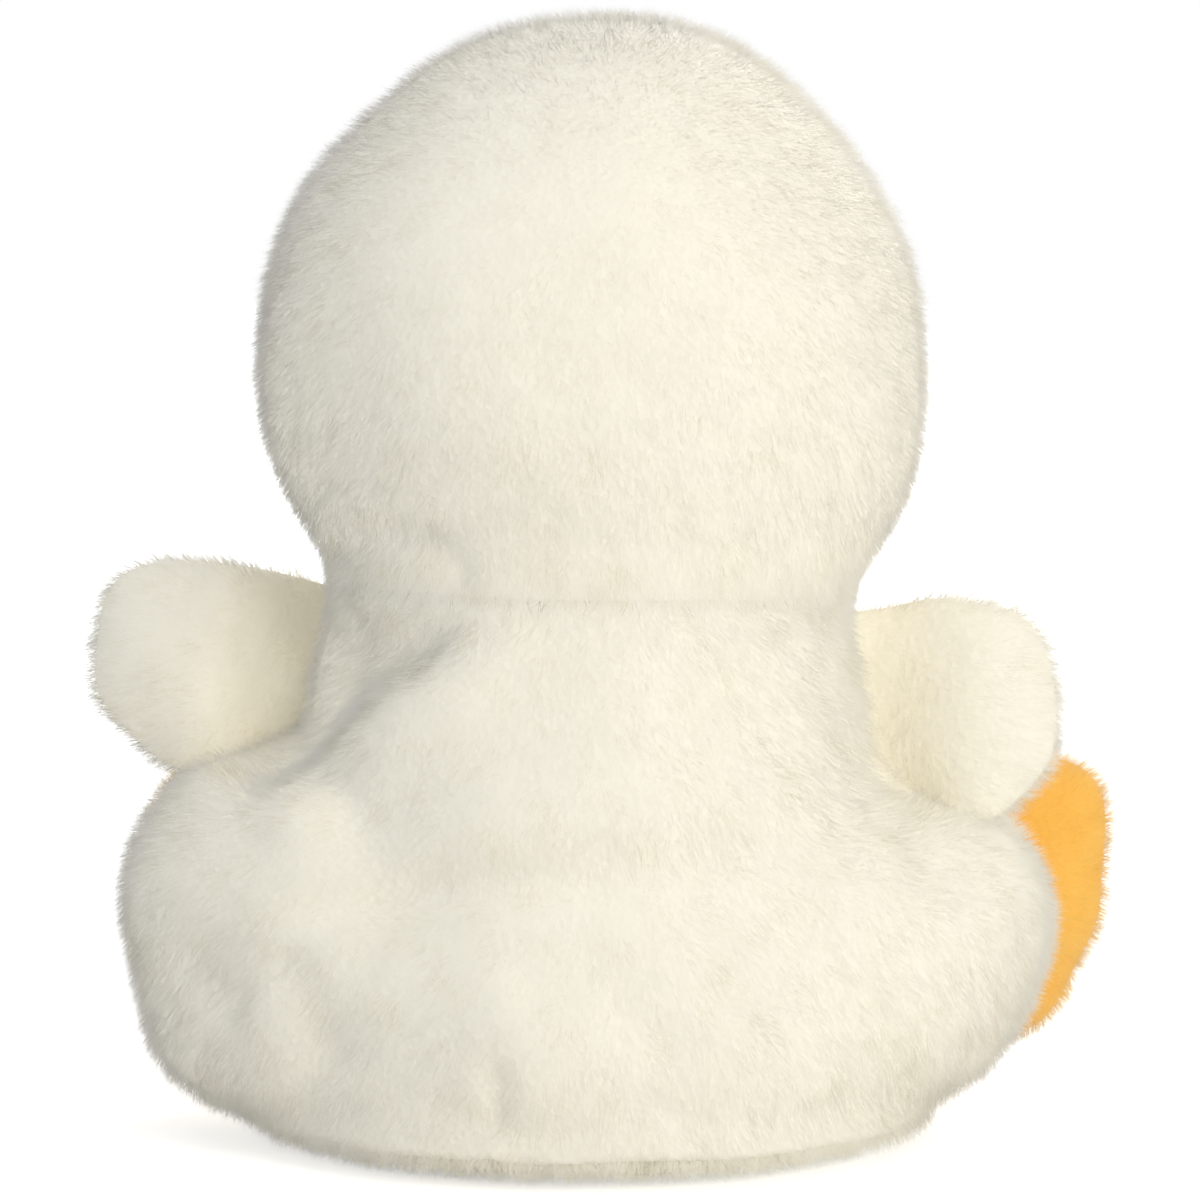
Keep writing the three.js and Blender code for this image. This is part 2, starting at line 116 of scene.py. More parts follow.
def turned(degrees: float, axis: str) -> Array:
    """The matrix of a right-handed turn about one axis.

    Args:
        degrees: The angle.
        axis: X, Y or Z.

    Returns:
        A 3 by 3 matrix.
    """
    c, s = np.cos(np.radians(degrees)), np.sin(np.radians(degrees))
    i, j = {"X": (1, 2), "Y": (2, 0), "Z": (0, 1)}[axis]
    made = np.eye(3)
    made[i, i] = made[j, j] = c
    made[i, j], made[j, i] = -s, s
    return made


def ripples(points: Array, size: float, seed: int, count: int = 20) -> Array:
    """Smooth unevenness: a sum of sine waves in random directions, about 1 in height.

    Args:
        points: Places in millimetres.
        size: A usual wavelength in millimetres.
        seed: The seed of the directions.
        count: How many waves.

    Returns:
        One number for each point.
    """
    rng = np.random.default_rng(seed)
    waves = unit(rng.normal(size=(count, 3))) * (2 * np.pi / size) * rng.uniform(0.6, 1.5, (count, 1))
    return np.sin(points @ waves.T + rng.uniform(0, 2 * np.pi, count)).sum(1) / np.sqrt(count / 2)


def through(knots: Sequence[Sequence[float]], count: int) -> Array:
    """A Catmull-Rom curve through knots, at even steps along its length.

    Args:
        knots: Points in two or more dimensions.
        count: How many points to give back.

    Returns:
        An array of that many points.
    """
    p = np.asarray(knots, float)
    p = np.vstack([2 * p[0] - p[1], p, 2 * p[-1] - p[-2]])
    t = np.linspace(0, 1, 24, endpoint=False)[None, :, None]
    a, b, c, d = (p[i:len(p) - 3 + i, None] for i in range(4))
    square, cube = 2 * a - 5 * b + 4 * c - d, 3 * b - a - 3 * c + d
    curve = 0.5 * (2 * b + (c - a) * t + square * t**2 + cube * t**3)
    curve = np.vstack([curve.reshape(-1, p.shape[1]), p[-2]])
    along = np.concatenate([[0], np.cumsum(np.linalg.norm(np.diff(curve, axis=0), axis=1))])
    wanted = np.linspace(0, along[-1], count)
    return np.stack([np.interp(wanted, along, column) for column in curve.T], 1)


@dataclass(frozen=True)
class PhotoView:
    """The view that the folds are laid out in: a camera behind the goose, in millimetres and degrees."""

    turn: float = 6.1
    rise: float = 4.3
    distance: float = 600.0
    aim: Point = (0.0, 0.0, 60.0)
    offset: Pair = (0.99, -1.7)
    pixels_per_mm: float = 9.324
    frame_pixels: float = 1200.0
    sensor: float = 36.0

    def axes(self) -> tuple[Array, Array, Array]:
        """The camera's own axes.

        Returns:
            Unit vectors to the right, up and back towards the camera.
        """
        a, e = np.radians(180 + self.turn), np.radians(self.rise)
        back = np.array([np.sin(a) * np.cos(e), -np.cos(a) * np.cos(e), np.sin(e)])
        right = unit(np.cross(-back, [0.0, 0.0, 1.0]))
        return right, np.cross(back, right), back

    def plane(self, points: Array) -> Array:
        """Where points show, in millimetres right of and above the aim in the plane through it.

        Args:
            points: Places in millimetres.

        Returns:
            Two numbers for each point.
        """
        right, up, back = self.axes()
        place = points - np.asarray(self.aim)
        near = self.distance / (self.distance - place @ back)
        return np.stack([(place @ right) * near, (place @ up) * near], 1)

    def facing(self, normals: Array) -> Array:
        """How far a face looks at the camera, from 0 at its outline to 1."""
        return smooth(0.0, 0.35, normals @ self.axes()[2])

    def camera(self) -> None:
        """Makes the camera of this view and gives it to the scene."""
        right, up, back = self.axes()
        data = bpy.data.cameras.new("photo_camera")
        data.sensor_width = self.sensor
        data.lens = data.sensor_width * self.pixels_per_mm * self.distance / self.frame_pixels
        data.clip_start, data.clip_end = 0.01, 100
        camera = bpy.data.objects.new("photo_camera", data)
        place = np.asarray(self.aim) + self.distance * back + self.offset[0] * right + self.offset[1] * up
        camera.location = place * MM
        camera.rotation_euler = Vector(-back).to_track_quat("-Z", "Y").to_euler()
        bpy.context.scene.collection.objects.link(camera)
        bpy.context.scene.camera = camera


VIEW = PhotoView()


@dataclass(frozen=True)
class Fold:
    """A line in the cloth, drawn through points of the view's plane in millimetres."""

    path: tuple[Pair, ...]
    depth: float
    width: float
    kind: FoldKind = FoldKind.CREASE
    steps: int = 28
    fade: float = 0.15

    def lift(self, places: Array) -> Array:
        """How far the cloth stands out, by its distance d from the line.

        A crease or ridge is depth times exp(-(d/width)^2). A ledge is full at the line and
        eases out over six widths on its left side, with a small swelling on its right.

        Args:
            places: Places in the view's plane.

        Returns:
            Millimetres outwards for each place.
        """
        line = through(self.path, self.steps)
        start, step = line[:-1], np.diff(line, axis=0)
        rel = places[:, None] - start
        share = np.clip((rel * step).sum(2) / (step**2).sum(1), 0, 1)
        apart = rel - share[..., None] * step
        far = np.linalg.norm(apart, axis=2)
        near = far.argmin(1)
        rows = np.arange(len(places))
        distance = far[rows, near]
        along = (near + share[rows, near]) / len(step)
        ends = smooth(0, self.fade, along) * smooth(0, self.fade, 1 - along)
        if self.kind is not FoldKind.LEDGE:
            sign = 1 if self.kind is FoldKind.RIDGE else -1
            return sign * self.depth * ends * bell(distance, self.width)
        side = step[near, 0] * apart[rows, near, 1] - step[near, 1] * apart[rows, near, 0]
        signed = np.where(side > 0, distance, -distance)
        drop = smooth(-0.5 * self.width, 1.1 * self.width, signed)
        eased = smooth(6 * self.width, 1.2 * self.width, signed)
        return self.depth * ends * (0.35 * bell(signed + self.width, self.width) - drop * eased)


def write_mesh(name: str, points: Array, faces: Sequence[NDArray[np.int64]]) -> bpy.types.Object:
    """Puts points and faces into a new smooth mesh.

    Args:
        name: The piece's name.
        points: Places in millimetres.
        faces: Arrays of corner numbers, one array for each count of corners.

    Returns:
        The new object, at the origin.
    """
    mesh = bpy.data.meshes.new(name)
    sizes = np.concatenate([np.full(len(f), f.shape[1]) for f in faces])
    mesh.vertices.add(len(points))
    mesh.vertices.foreach_set("co", (points * MM).astype(np.float32).ravel())
    mesh.loops.add(int(sizes.sum()))
    mesh.loops.foreach_set("vertex_index", np.concatenate([f.ravel() for f in faces]).astype(np.int32))
    mesh.polygons.add(len(sizes))
    mesh.polygons.foreach_set("loop_start", (np.cumsum(sizes) - sizes).astype(np.int32))
    mesh.update(calc_edges=True)
    mesh.validate()
    mesh.shade_smooth()
    made = bpy.data.objects.new(name, mesh)
    bpy.context.scene.collection.objects.link(made)
    return made


def closed_surface(name: str, rings: Array) -> bpy.types.Object:
    """A closed skin over rings of points. The first and the last ring each shrink to one point.

    Args:
        name: The piece's name.
        rings: An array of rings by points by three, each ring anticlockwise about the way onwards.

    Returns:
        The new object.
    """
    rows, columns = len(rings) - 2, rings.shape[1]
    points = np.vstack([rings[0].mean(0), rings[1:-1].reshape(-1, 3), rings[-1].mean(0)])
    here = 1 + np.arange(rows * columns).reshape(rows, columns)
    after = np.roll(here, -1, axis=1)
    quads = np.stack([here[:-1], after[:-1], after[1:], here[1:]], -1).reshape(-1, 4)
    first = np.stack([np.zeros(columns, int), after[0], here[0]], -1)
    last = np.stack([here[-1], after[-1], np.full(columns, len(points) - 1)], -1)
    return write_mesh(name, points, [quads, np.vstack([first, last])])


def read_points(mesh: bpy.types.Mesh) -> tuple[Array, Array]:
    """Reads a mesh's points and normals.

    Args:
        mesh: The mesh.

    Returns:
        Its points in millimetres and its normals at them.
    """
    points, normals = (np.empty(len(mesh.vertices) * 3, np.float32) for _ in range(2))
    mesh.vertices.foreach_get("co", points)
    mesh.vertex_normals.foreach_get("vector", normals)
    return points.reshape(-1, 3).astype(float) / MM, normals.reshape(-1, 3).astype(float)


def move_points(piece: bpy.types.Object, points: Array) -> None:
    """Puts a mesh's points at new places in millimetres."""
    piece.data.vertices.foreach_set("co", (points * MM).astype(np.float32).ravel())
    piece.data.update()


def subdivide(piece: bpy.types.Object) -> None:
    """Applies one subdivision to a piece.

    Args:
        piece: The piece.
    """
    made = piece.modifiers.new("finer", "SUBSURF")
    made.levels = made.render_levels = 1
    made.boundary_smooth = "PRESERVE_CORNERS"
    finer = bpy.data.meshes.new_from_object(piece.evaluated_get(bpy.context.evaluated_depsgraph_get()))
    piece.modifiers.clear()
    old, piece.data = piece.data, finer
    finer.name = piece.name
    bpy.data.meshes.remove(old)


@dataclass(frozen=True)
class Stuffing:
    """Fibre pressed into a sewn skin, as cloth under pressure that its seams hold back."""

    pressure: float = 4.0
    frames: int = 20
    cap: float = 1.5
    enlarged: float = 5.0
    mass: float = 0.15
    stretch: float = 12.0
    bend: float = 0.4

    def fill(self, skin: bpy.types.Object, sewn: NDArray[np.bool_]) -> None:
        """Swells a skin by simulation and keeps the result.

        Args:
            skin: The closed skin. It is enlarged while the cloth moves.
            sewn: Which points the seams hold still.
        """
        rest, _ = read_points(skin.data)
        move_points(skin, rest * self.enlarged)
        skin.vertex_groups.new(name="sewn").add(np.flatnonzero(sewn).tolist(), 1.0, "REPLACE")
        cloth = skin.modifiers.new("swell", "CLOTH")
        cloth.point_cache.frame_start, cloth.point_cache.frame_end = 1, self.frames
        cloth.settings.quality = 5
        cloth.settings.mass = self.mass
        cloth.settings.tension_stiffness = cloth.settings.compression_stiffness = self.stretch
        cloth.settings.bending_stiffness = self.bend
        cloth.settings.use_pressure = True
        cloth.settings.uniform_pressure_force = self.pressure
        cloth.settings.effector_weights.gravity = 0
        cloth.settings.vertex_group_mass = "sewn"
        cloth.collision_settings.use_collision = False
        for step in range(1, self.frames + 1):
            bpy.context.scene.frame_set(step)
        moved, _ = read_points(skin.evaluated_get(bpy.context.evaluated_depsgraph_get()).data)
        skin.modifiers.clear()
        skin.vertex_groups.clear()
        bpy.context.scene.frame_set(1)
        shift = moved / self.enlarged - rest
        far = np.linalg.norm(shift, axis=1, keepdims=True)
        move_points(skin, rest + shift * np.minimum(1, self.cap / np.maximum(far, 1e-6)))
        LOG.info("stuffed %s: swells %.2f mm at most", skin.name, min(self.cap, float(far.max())))


STUFFING = Stuffing()


def add_node(
    tree: bpy.types.NodeTree,
    kind: str,
    inputs: dict[Any, Any] | None = None,
    stops: Sequence[tuple[float, str]] = (),
    **settings: Any,
) -> Any:
    """Adds one node, with its settings, and fills or links its sockets.

    Args:
        tree: The node tree.
        kind: The node's type.
        inputs: Socket name or number to a value, or to the socket that feeds it.
        stops: For a colour ramp, places from 0 to 1, each with a hex colour.
        **settings: The node's own properties.

    Returns:
        The node.
    """
    made = tree.nodes.new(kind)
    for name, value in settings.items():
        setattr(made, name, value)
    for name, value in (inputs or {}).items():
        if isinstance(value, bpy.types.NodeSocket):
            tree.links.new(value, made.inputs[name])
        else:
            made.inputs[name].default_value = value
    if stops:
        band = made.color_ramp.elements
        for end in (0, -1):
            band[end].position, band[end].color = stops[end][0], linear(stops[end][1])
        for place, code in stops[1:-1]:
            band.new(place).color = linear(code)
    return made


class Finish:
    """A finish that builds its material once and puts it on pieces."""

    name: str

    def surface(self, tree: bpy.types.NodeTree) -> Any:
        """Builds the finish's nodes and gives back the shader socket for the surface."""
        raise NotImplementedError

    def put_on(self, *pieces: bpy.types.Object) -> None:
        """Gives pieces this finish as their only material.

        Args:
            *pieces: The pieces.
        """
        found = bpy.data.materials.get(self.name)
        if found is None:
            found = bpy.data.materials.new(self.name)
            found.use_nodes = True
            found.node_tree.nodes.clear()
            surface = self.surface(found.node_tree)
            add_node(found.node_tree, "ShaderNodeOutputMaterial", {"Surface": surface})
        for piece in pieces:
            piece.data.materials.clear()
            piece.data.materials.append(found)


@dataclass(frozen=True)
class PileFibre(Finish):
    """Polyester pile, cut short: each fibre is painted darker at its root and pale at its tip, as shade
    among fibres that cast no shadow.

    The colour follows the fibre's own map: across it runs a tone that differs a little from fibre to fibre,
    partly at random and partly as painted mottled shade of tufts, and up it runs the painted shade from root
    to tip.
    """

    name: str
    root: str
    body: str
    tip: str
    dull: str
    middle: float = 0.45
    rough: float = 0.6
    gloss: float = 0.05
    sheen: float = 0.5

    def surface(self, tree: bpy.types.NodeTree) -> Any:
        """Builds the fibre's nodes.

        Args:
            tree: The material's node tree.

        Returns:
            The shader socket.
        """
        place = add_node(tree, "ShaderNodeUVMap", uv_map="OFBake")
        split = add_node(tree, "ShaderNodeSeparateXYZ", {0: place.outputs["UV"]})
        # Up the fibre: painted shade, deepest at the root where neighbouring fibres would shade it, paling
        # to the pile's own colour at the tip.
        dyes = [(0.0, self.root), (self.middle, self.body), (1.0, self.tip)]
        length = add_node(tree, "ShaderNodeValToRGB", {"Fac": split.outputs["Y"]}, dyes)
        # Across the fibres: a tone that differs at random, together with painted mottled shade of tufts.
        tones = [(0.0, self.dull), (0.6, "ffffff"), (1.0, "ffffff")]
        tone = add_node(tree, "ShaderNodeValToRGB", {"Fac": split.outputs["X"]}, tones)
        both = {0: 1.0, 6: length.outputs["Color"], 7: tone.outputs["Color"]}
        colour = add_node(tree, "ShaderNodeMix", both, data_type="RGBA", blend_type="MULTIPLY")
        looks = {"Base Color": colour.outputs[2], "Roughness": self.rough}
        looks |= {"Specular IOR Level": self.gloss, "Sheen Weight": self.sheen}
        return add_node(tree, "ShaderNodeBsdfPrincipled", looks).outputs["BSDF"]


@dataclass(frozen=True)
class KnitBacking(Finish):
    """The knitted ground that the pile stands in: matt, with its rows of loops and a mottled dye."""

    name: str
    light: str
    dark: str
    loop_mm: float = 0.9
    mottle_mm: float = 7.0
    loop_height_mm: float = 0.3

    def surface(self, tree: bpy.types.NodeTree) -> Any:
        """Builds the ground's nodes.

        Args:
            tree: The material's node tree.

        Returns:
            The shader socket.
        """
        place = add_node(tree, "ShaderNodeTexCoord").outputs["Object"]
        mottle = {"Vector": place, "Scale": 1 / (self.mottle_mm * MM), "Detail": 3.0, "Roughness": 0.6}
        patches = {"Fac": add_node(tree, "ShaderNodeTexNoise", mottle).outputs["Fac"]}
        dyes = [(0.3, self.dark), (0.7, self.light)]
        colour = add_node(tree, "ShaderNodeValToRGB", patches, dyes).outputs["Color"]
        loops = add_node(tree, "ShaderNodeTexVoronoi", {"Vector": place, "Scale": 1 / (self.loop_mm * MM)})
        bumps = {"Height": loops.outputs["Distance"], "Strength": 0.4, "Distance": self.loop_height_mm * MM}
        normal = add_node(tree, "ShaderNodeBump", bumps).outputs["Normal"]
        looks = {"Base Color": colour, "Roughness": 0.9, "Normal": normal, "Sheen Weight": 0.2}
        return add_node(tree, "ShaderNodeBsdfPrincipled", looks).outputs["BSDF"]


@dataclass(frozen=True)
class MouldedPlastic(Finish):
    """Injection-moulded plastic: one dyed colour with a faint flow mark and fine polish or grain."""

    name: str
    light: str
    dark: str
    smooth_rough: float
    coarse_rough: float
    gloss: float = 0.5
    flow_mm: float = 3.0

    def surface(self, tree: bpy.types.NodeTree) -> Any:
        """Builds the plastic's nodes.

        Args:
            tree: The material's node tree.

        Returns:
            The shader socket.
        """
        place = add_node(tree, "ShaderNodeTexCoord").outputs["Object"]
        flow = {"Vector": place, "Scale": 1 / (self.flow_mm * MM), "Detail": 4.0}
        marks = add_node(tree, "ShaderNodeTexNoise", flow).outputs["Fac"]
        dyes = [(0.35, self.dark), (0.65, self.light)]
        colour = add_node(tree, "ShaderNodeValToRGB", {"Fac": marks}, dyes).outputs["Color"]
        span = {0: marks, 1: 0.3, 2: 0.7, 3: self.smooth_rough, 4: self.coarse_rough}
        rough = add_node(tree, "ShaderNodeMapRange", span).outputs[0]
        looks = {"Base Color": colour, "Roughness": rough, "IOR": 1.49, "Specular IOR Level": self.gloss}
        return add_node(tree, "ShaderNodeBsdfPrincipled", looks).outputs["BSDF"]


@dataclass(frozen=True)
class LooseFibre(Finish):
    """Spun or loose polyester: matt strands that cross, drawn as stretched noise."""

    name: str
    light: str
    dark: str
    strand_mm: float
    strand_height_mm: float = 0.4

    def surface(self, tree: bpy.types.NodeTree) -> Any:
        """Builds the strands' nodes.

        Args:
            tree: The material's node tree.

        Returns:
            The shader socket.
        """
        place = add_node(tree, "ShaderNodeTexCoord").outputs["Object"]
        drawn = add_node(tree, "ShaderNodeMapping", {"Vector": place, "Scale": (1.0, 0.25, 1.0)}).outputs[0]
        noise = {"Vector": drawn, "Scale": 1 / (self.strand_mm * MM), "Detail": 5.0, "Roughness": 0.7}
        strands = add_node(tree, "ShaderNodeTexNoise", noise).outputs["Fac"]
        dyes = [(0.35, self.dark), (0.65, self.light)]
        colour = add_node(tree, "ShaderNodeValToRGB", {"Fac": strands}, dyes).outputs["Color"]
        bumps = {"Height": strands, "Strength": 0.6, "Distance": self.strand_height_mm * MM}
        normal = add_node(tree, "ShaderNodeBump", bumps).outputs["Normal"]
        looks = {"Base Color": colour, "Roughness": 0.95, "Normal": normal}
        return add_node(tree, "ShaderNodeBsdfPrincipled", looks).outputs["BSDF"]


@dataclass(frozen=True)
class PaperSweep(Finish):
    """A pale paper sweep. The camera sees it lightened to white, and shadows stay on it."""

    name: str
    light: str
    dark: str
    lift: float
    far_lift: float
    near_m: float = 0.3
    far_m: float = 1.2
    grain_mm: float = 40.0

    def surface(self, tree: bpy.types.NodeTree) -> Any:
        """Builds the paper's nodes.

        Args:
            tree: The material's node tree.

        Returns:
            The mixed shader.
        """
        place = add_node(tree, "ShaderNodeTexCoord").outputs["Object"]
        grain = {"Vector": place, "Scale": 1 / (self.grain_mm * MM), "Detail": 2.0}
        specks = {"Fac": add_node(tree, "ShaderNodeTexNoise", grain).outputs["Fac"]}
        colour = add_node(tree, "ShaderNodeValToRGB", specks, [(0, self.dark), (1, self.light)])
        paper = add_node(tree, "ShaderNodeBsdfDiffuse", {"Color": colour.outputs["Color"]})
        path = add_node(tree, "ShaderNodeLightPath")
        away = add_node(tree, "ShaderNodeVectorMath", {0: place}, operation="LENGTH").outputs["Value"]
        span = {0: away, 1: self.near_m, 2: self.far_m, 3: self.lift, 4: self.far_lift}
        lift = add_node(tree, "ShaderNodeMapRange", span).outputs[0]
        either = {0: path.outputs["Is Camera Ray"], 1: path.outputs["Is Glossy Ray"]}
        seen = add_node(tree, "ShaderNodeMath", either, operation="MAXIMUM").outputs[0]
        level = add_node(tree, "ShaderNodeMath", {0: seen, 1: lift}, operation="MULTIPLY").outputs[0]
        lifted = add_node(tree, "ShaderNodeEmission", {"Color": (1, 1, 1, 1), "Strength": level})
        return add_node(tree, "ShaderNodeAddShader", {0: paper.outputs[0], 1: lifted.outputs[0]}).outputs[0]


# Root colours are painted shade at the fibres' feet, and tip colours are the pile's own colour. The dull
# colours darken the tone, partly at random and partly as painted mottled shade of tufts.
CREAM_PILE = PileFibre("cream_polyester_pile", "f6f0dc", "faf4e2", "fcf8ea", "eee9dc")
ORANGE_PILE = PileFibre("orange_polyester_pile", "f6b64c", "fbc65c", "fdd074", "f2e6d2")
CREAM_GROUND = KnitBacking("cream_knit_backing", "faf4e2", "f5efdc")
ORANGE_GROUND = KnitBacking("orange_knit_backing", "f9be54", "f4b248")
EYE_GLOSS = MouldedPlastic("polished_black_eye", "0b0b0d", "050506", 0.05, 0.1, 0.3)
WASHER_NYLON = MouldedPlastic("nylon_washer", "e8e8e2", "dcdcd4", 0.4, 0.55)
PELLET_PLASTIC = MouldedPlastic("polyethylene_pellets", "e0e3e4", "c8ccce", 0.4, 0.6)
POUCH_CLOTH = KnitBacking("cotton_pouch", "ece8dc", "ddd8c8", 0.6)
SEAM_THREAD = LooseFibre("spun_thread", "f0ead8", "d8d0b8", 0.3)

# The heights in millimetres where level light comes and goes, and how far raised light leans upwards.
NECK_RISE: Pair = (50.0, 57.0)
NECK_FALL: Pair = (69.0, 63.0)
FLOOR_FALL: Pair = (8.0, 1.5)
RAISE = 0.4


def as_skin(points: Array, normals: Array) -> Array:
    """Light meets the pile as it meets the skin."""
    return normals


def level_light(points: Array, normals: Array) -> Array:
    """Normals that turn level round the neck, where pile hides the seam, and low down by the pale floor.

    Args:
        points: Places in millimetres.
        normals: The skin's normals there.

    Returns:
        The normals that light meets.
    """
    high = points[:, 2]
    share = (smooth(*NECK_RISE, high) * smooth(*NECK_FALL, high) + smooth(*FLOOR_FALL, high))[:, None]
    return unit((1 - share) * normals + share * unit(normals * (1.0, 1.0, 0.0)))


def raised_light(points: Array, normals: Array) -> Array:
    """Normals that lean upwards a little, as pile hands light down to the fibres under it."""
    return unit(normals + np.array([0.0, 0.0, RAISE]))


def brushed(way: Sequence[float], spread: float = 0.0, about: Sequence[float] = (0, 0, 0)) -> Field:
    """A lay that runs one way, and also away from a point.

    Args:
        way: The direction of the lay.
        spread: How much of the way is away from the point.
        about: That point, in millimetres.

    Returns:
        The lay at points with normals.
    """
    return lambda points, normals: np.asarray(way, float) + spread * unit(points - np.asarray(about, float))


@dataclass(frozen=True)
class Pile:
    """A short cut pile that stands in a skin. Lengths are in millimetres and angles in degrees."""

    finish: PileFibre
    length: float
    lean: float = 46.0
    width: float = 0.06
    per_mm2: float = 10.4
    most: int = 48000
    uneven: Pair = (0.7, 1.15)
    sunk: float = 0.25
    lowest: float = 0.2
    tuft: float = 0.18
    tuft_mm: float = 5.0
    lock: float = 0.14
    lock_mm: float = 1.8
    stray: float = 0.25
    lean_wave: float = 6.0
    lean_mm: float = 4.0
    lean_stray: float = 9.0
    lean_limits_rad: Pair = (0.1, 1.25)
    # dye is the middle tone; the wave is painted mottled shade of tufts, and the stray is a tone that
    # differs at random.
    dye: float = 0.55
    tuft_shade_wave: float = 0.13
    tuft_shade_mm: float = 6.0
    dye_stray: float = 0.2
    round_share: float = 0.4
    tip_share: float = 0.3

    def scatter(self, skin: bpy.types.Object, cover: Field, rng: np.random.Generator) -> tuple[Array, Array]:
        """Picks random points of a skin, as many to each square millimetre as the cover there asks.

        Args:
            skin: The finished skin.
            cover: Gives the share of the full density at each point, from points and normals.
            rng: The source of random numbers.

        Returns:
            The fibres' roots, and the skin's normals at them.
        """
        points, normals = read_points(skin.data)
        skin.data.calc_loop_triangles()
        corners = np.empty(len(skin.data.loop_triangles) * 3, np.int32)
        skin.data.loop_triangles.foreach_get("vertices", corners)
        corners = corners.reshape(-1, 3)
        a, b, c = (points[corners[:, i]] for i in range(3))
        area = np.linalg.norm(np.cross(b - a, c - a), axis=1) / 2
        wanted = area * cover(points, normals)[corners].mean(1)
        count = int(wanted.sum() * self.per_mm2)
        picked = rng.choice(len(corners), count, p=wanted / wanted.sum())
        share = rng.dirichlet((1, 1, 1), count)
        root = (points[corners[picked]] * share[..., None]).sum(1)
        return root, unit((normals[corners[picked]] * share[..., None]).sum(1))

    def comb(self, root: Array, out: Array, way: Array, seed: int, rng: np.random.Generator) -> Array:
        """Leans fibres from the normal towards the lay. Both wander in tufts and from fibre to fibre.

        Args:
            root: The fibres' roots.
            out: The skin's normals there.
            way: The lay there.
            seed: The seed of the tufts.
            rng: The source of random numbers.

        Returns:
            The fibres' directions.
        """
        tuft = np.stack([ripples(root, self.tuft_mm, seed + k) for k in range(3)], 1)
        lock = np.stack([ripples(root, self.lock_mm, seed + 10 + k) for k in range(3)], 1)
        way = unit(way) + self.tuft * tuft + self.lock * lock + self.stray * rng.normal(size=root.shape)
        way = unit(way - (way * out).sum(1, keepdims=True) * out)
        lean = self.lean + self.lean_wave * ripples(root, self.lean_mm, seed + 20)
        lean = np.radians(lean + self.lean_stray * rng.normal(size=len(root)))
        lean = np.clip(lean, *self.lean_limits_rad)[:, None]
        return np.cos(lean) * out + np.sin(lean) * way

    def plant(
        self, skin: bpy.types.Object, name: str, lay: Field, cover: Field, seed: int, shade: Field = as_skin
    ) -> list[bpy.types.Object]:
        """Plants fibres over a skin, in as many pieces as keep each one light.

        A fibre is a three-sided spike whose root is a random point of the skin.

        Args:
            skin: The finished skin.
            name: The name of the pile's pieces, before their number.
            lay: Gives the way that the pile is brushed at each point, from points and normals.
            cover: Gives the share of the full density at each point, from points and normals.
            seed: The seed of the random numbers.
            shade: Gives the normals that light meets, from points and normals.

        Returns:
            The new pieces.
        """
        rng = np.random.default_rng(seed)
        root, out = self.scatter(skin, cover, rng)
        along = self.comb(root, out, lay(root, out), seed, rng)
        count = len(root)
        long = self.length * rng.uniform(*self.uneven, (count, 1))
        tip = root + along * long
        tip[:, 2] = np.maximum(tip[:, 2], self.lowest)
        across = unit(np.cross(along, out + 0.01 * rng.normal(size=(count, 3))))
        third = np.cross(along, across)
        spin = rng.uniform(0, 2 * np.pi, (count, 1)) + np.arange(3) * (2 * np.pi / 3)
        ring = np.cos(spin)[..., None] * across[:, None] + np.sin(spin)[..., None] * third[:, None]
        foot = root[:, None] - self.sunk * out[:, None] + 0.5 * self.width * ring
        shape = np.concatenate([foot, tip[:, None]], 1)
        lit = shade(root, out)
        side = (1 - self.round_share) * lit[:, None] + self.round_share * ring
        glow = np.concatenate([side, unit(lit + self.tip_share * along)[:, None]], 1)
        # The tone: painted mottled shade of tufts, standing in for shade among fibres that cast none, plus a
        # random tone from fibre to fibre.
        dye = self.dye + self.tuft_shade_wave * ripples(root, self.tuft_shade_mm, seed + 30)
        tone = np.clip(dye + self.dye_stray * rng.normal(size=count), 0, 1)
        made = []
        for number, part in enumerate(np.array_split(np.arange(count), -(-count // self.most))):
            made.append(self.spikes(f"{name}_{number + 1}", shape[part], glow[part], tone[part]))
        self.finish.put_on(*made)
        LOG.info("planted %s: %d fibres in %d pieces", name, count, len(made))
        return made

    @staticmethod
    def spikes(name: str, shape: Array, glow: Array, tone: Array) -> bpy.types.Object:
        """Makes one mesh of closed three-sided spikes, which take light as the skin under them does.

        Args:
            name: The piece's name.
            shape: For each spike, three points of its foot and its tip.
            glow: For each of those points, the normal that light meets there.
            tone: For each spike, its place across the fibre's colour map.

        Returns:
            The new object, with the fibre's map on it.
        """
        pattern = np.array([[0, 1, 3], [1, 2, 3], [2, 0, 3], [2, 1, 0]])
        faces = (4 * np.arange(len(shape))[:, None, None] + pattern).reshape(-1, 3)
        made = write_mesh(name, shape.reshape(-1, 3), [faces])
        side = np.array([[0.0, 0.0], [1.0, 0.0], [0.5, 1.0]])
        under = np.array([[0.0, 0.0], [1.0, 0.0], [0.5, 0.05]])
        cell = np.stack([side, side, side, under])
        across = 0.01 + 0.96 * tone[:, None, None] + 0.02 * cell[None, ..., 0]
        up = np.broadcast_to(0.01 + 0.98 * cell[None, ..., 1], across.shape)
        chart = made.data.uv_layers.new(name="OFBake")
        chart.uv.foreach_set("vector", np.stack([across, up], -1).astype(np.float32).ravel())
        made.data.normals_split_custom_set_from_vertices(unit(glow.reshape(-1, 3)))
        made.visible_shadow = made.visible_diffuse = made.visible_glossy = False
        return made


def settle(body: str, pieces: Sequence[bpy.types.Object], nodes: Sequence[str] = ()) -> None:
    """Makes pieces move with a body, and lets them stand for CAD nodes by hiding those nodes.

    Args:
        body: The body that they move with.
        pieces: The pieces.
        nodes: The nodes that each stands for.
    """
    for piece in pieces:
        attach(piece, body)
        if nodes:
            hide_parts(*nodes)
        LOG.info("piece %s on %s: %d faces", piece.name, body, len(piece.data.polygons))


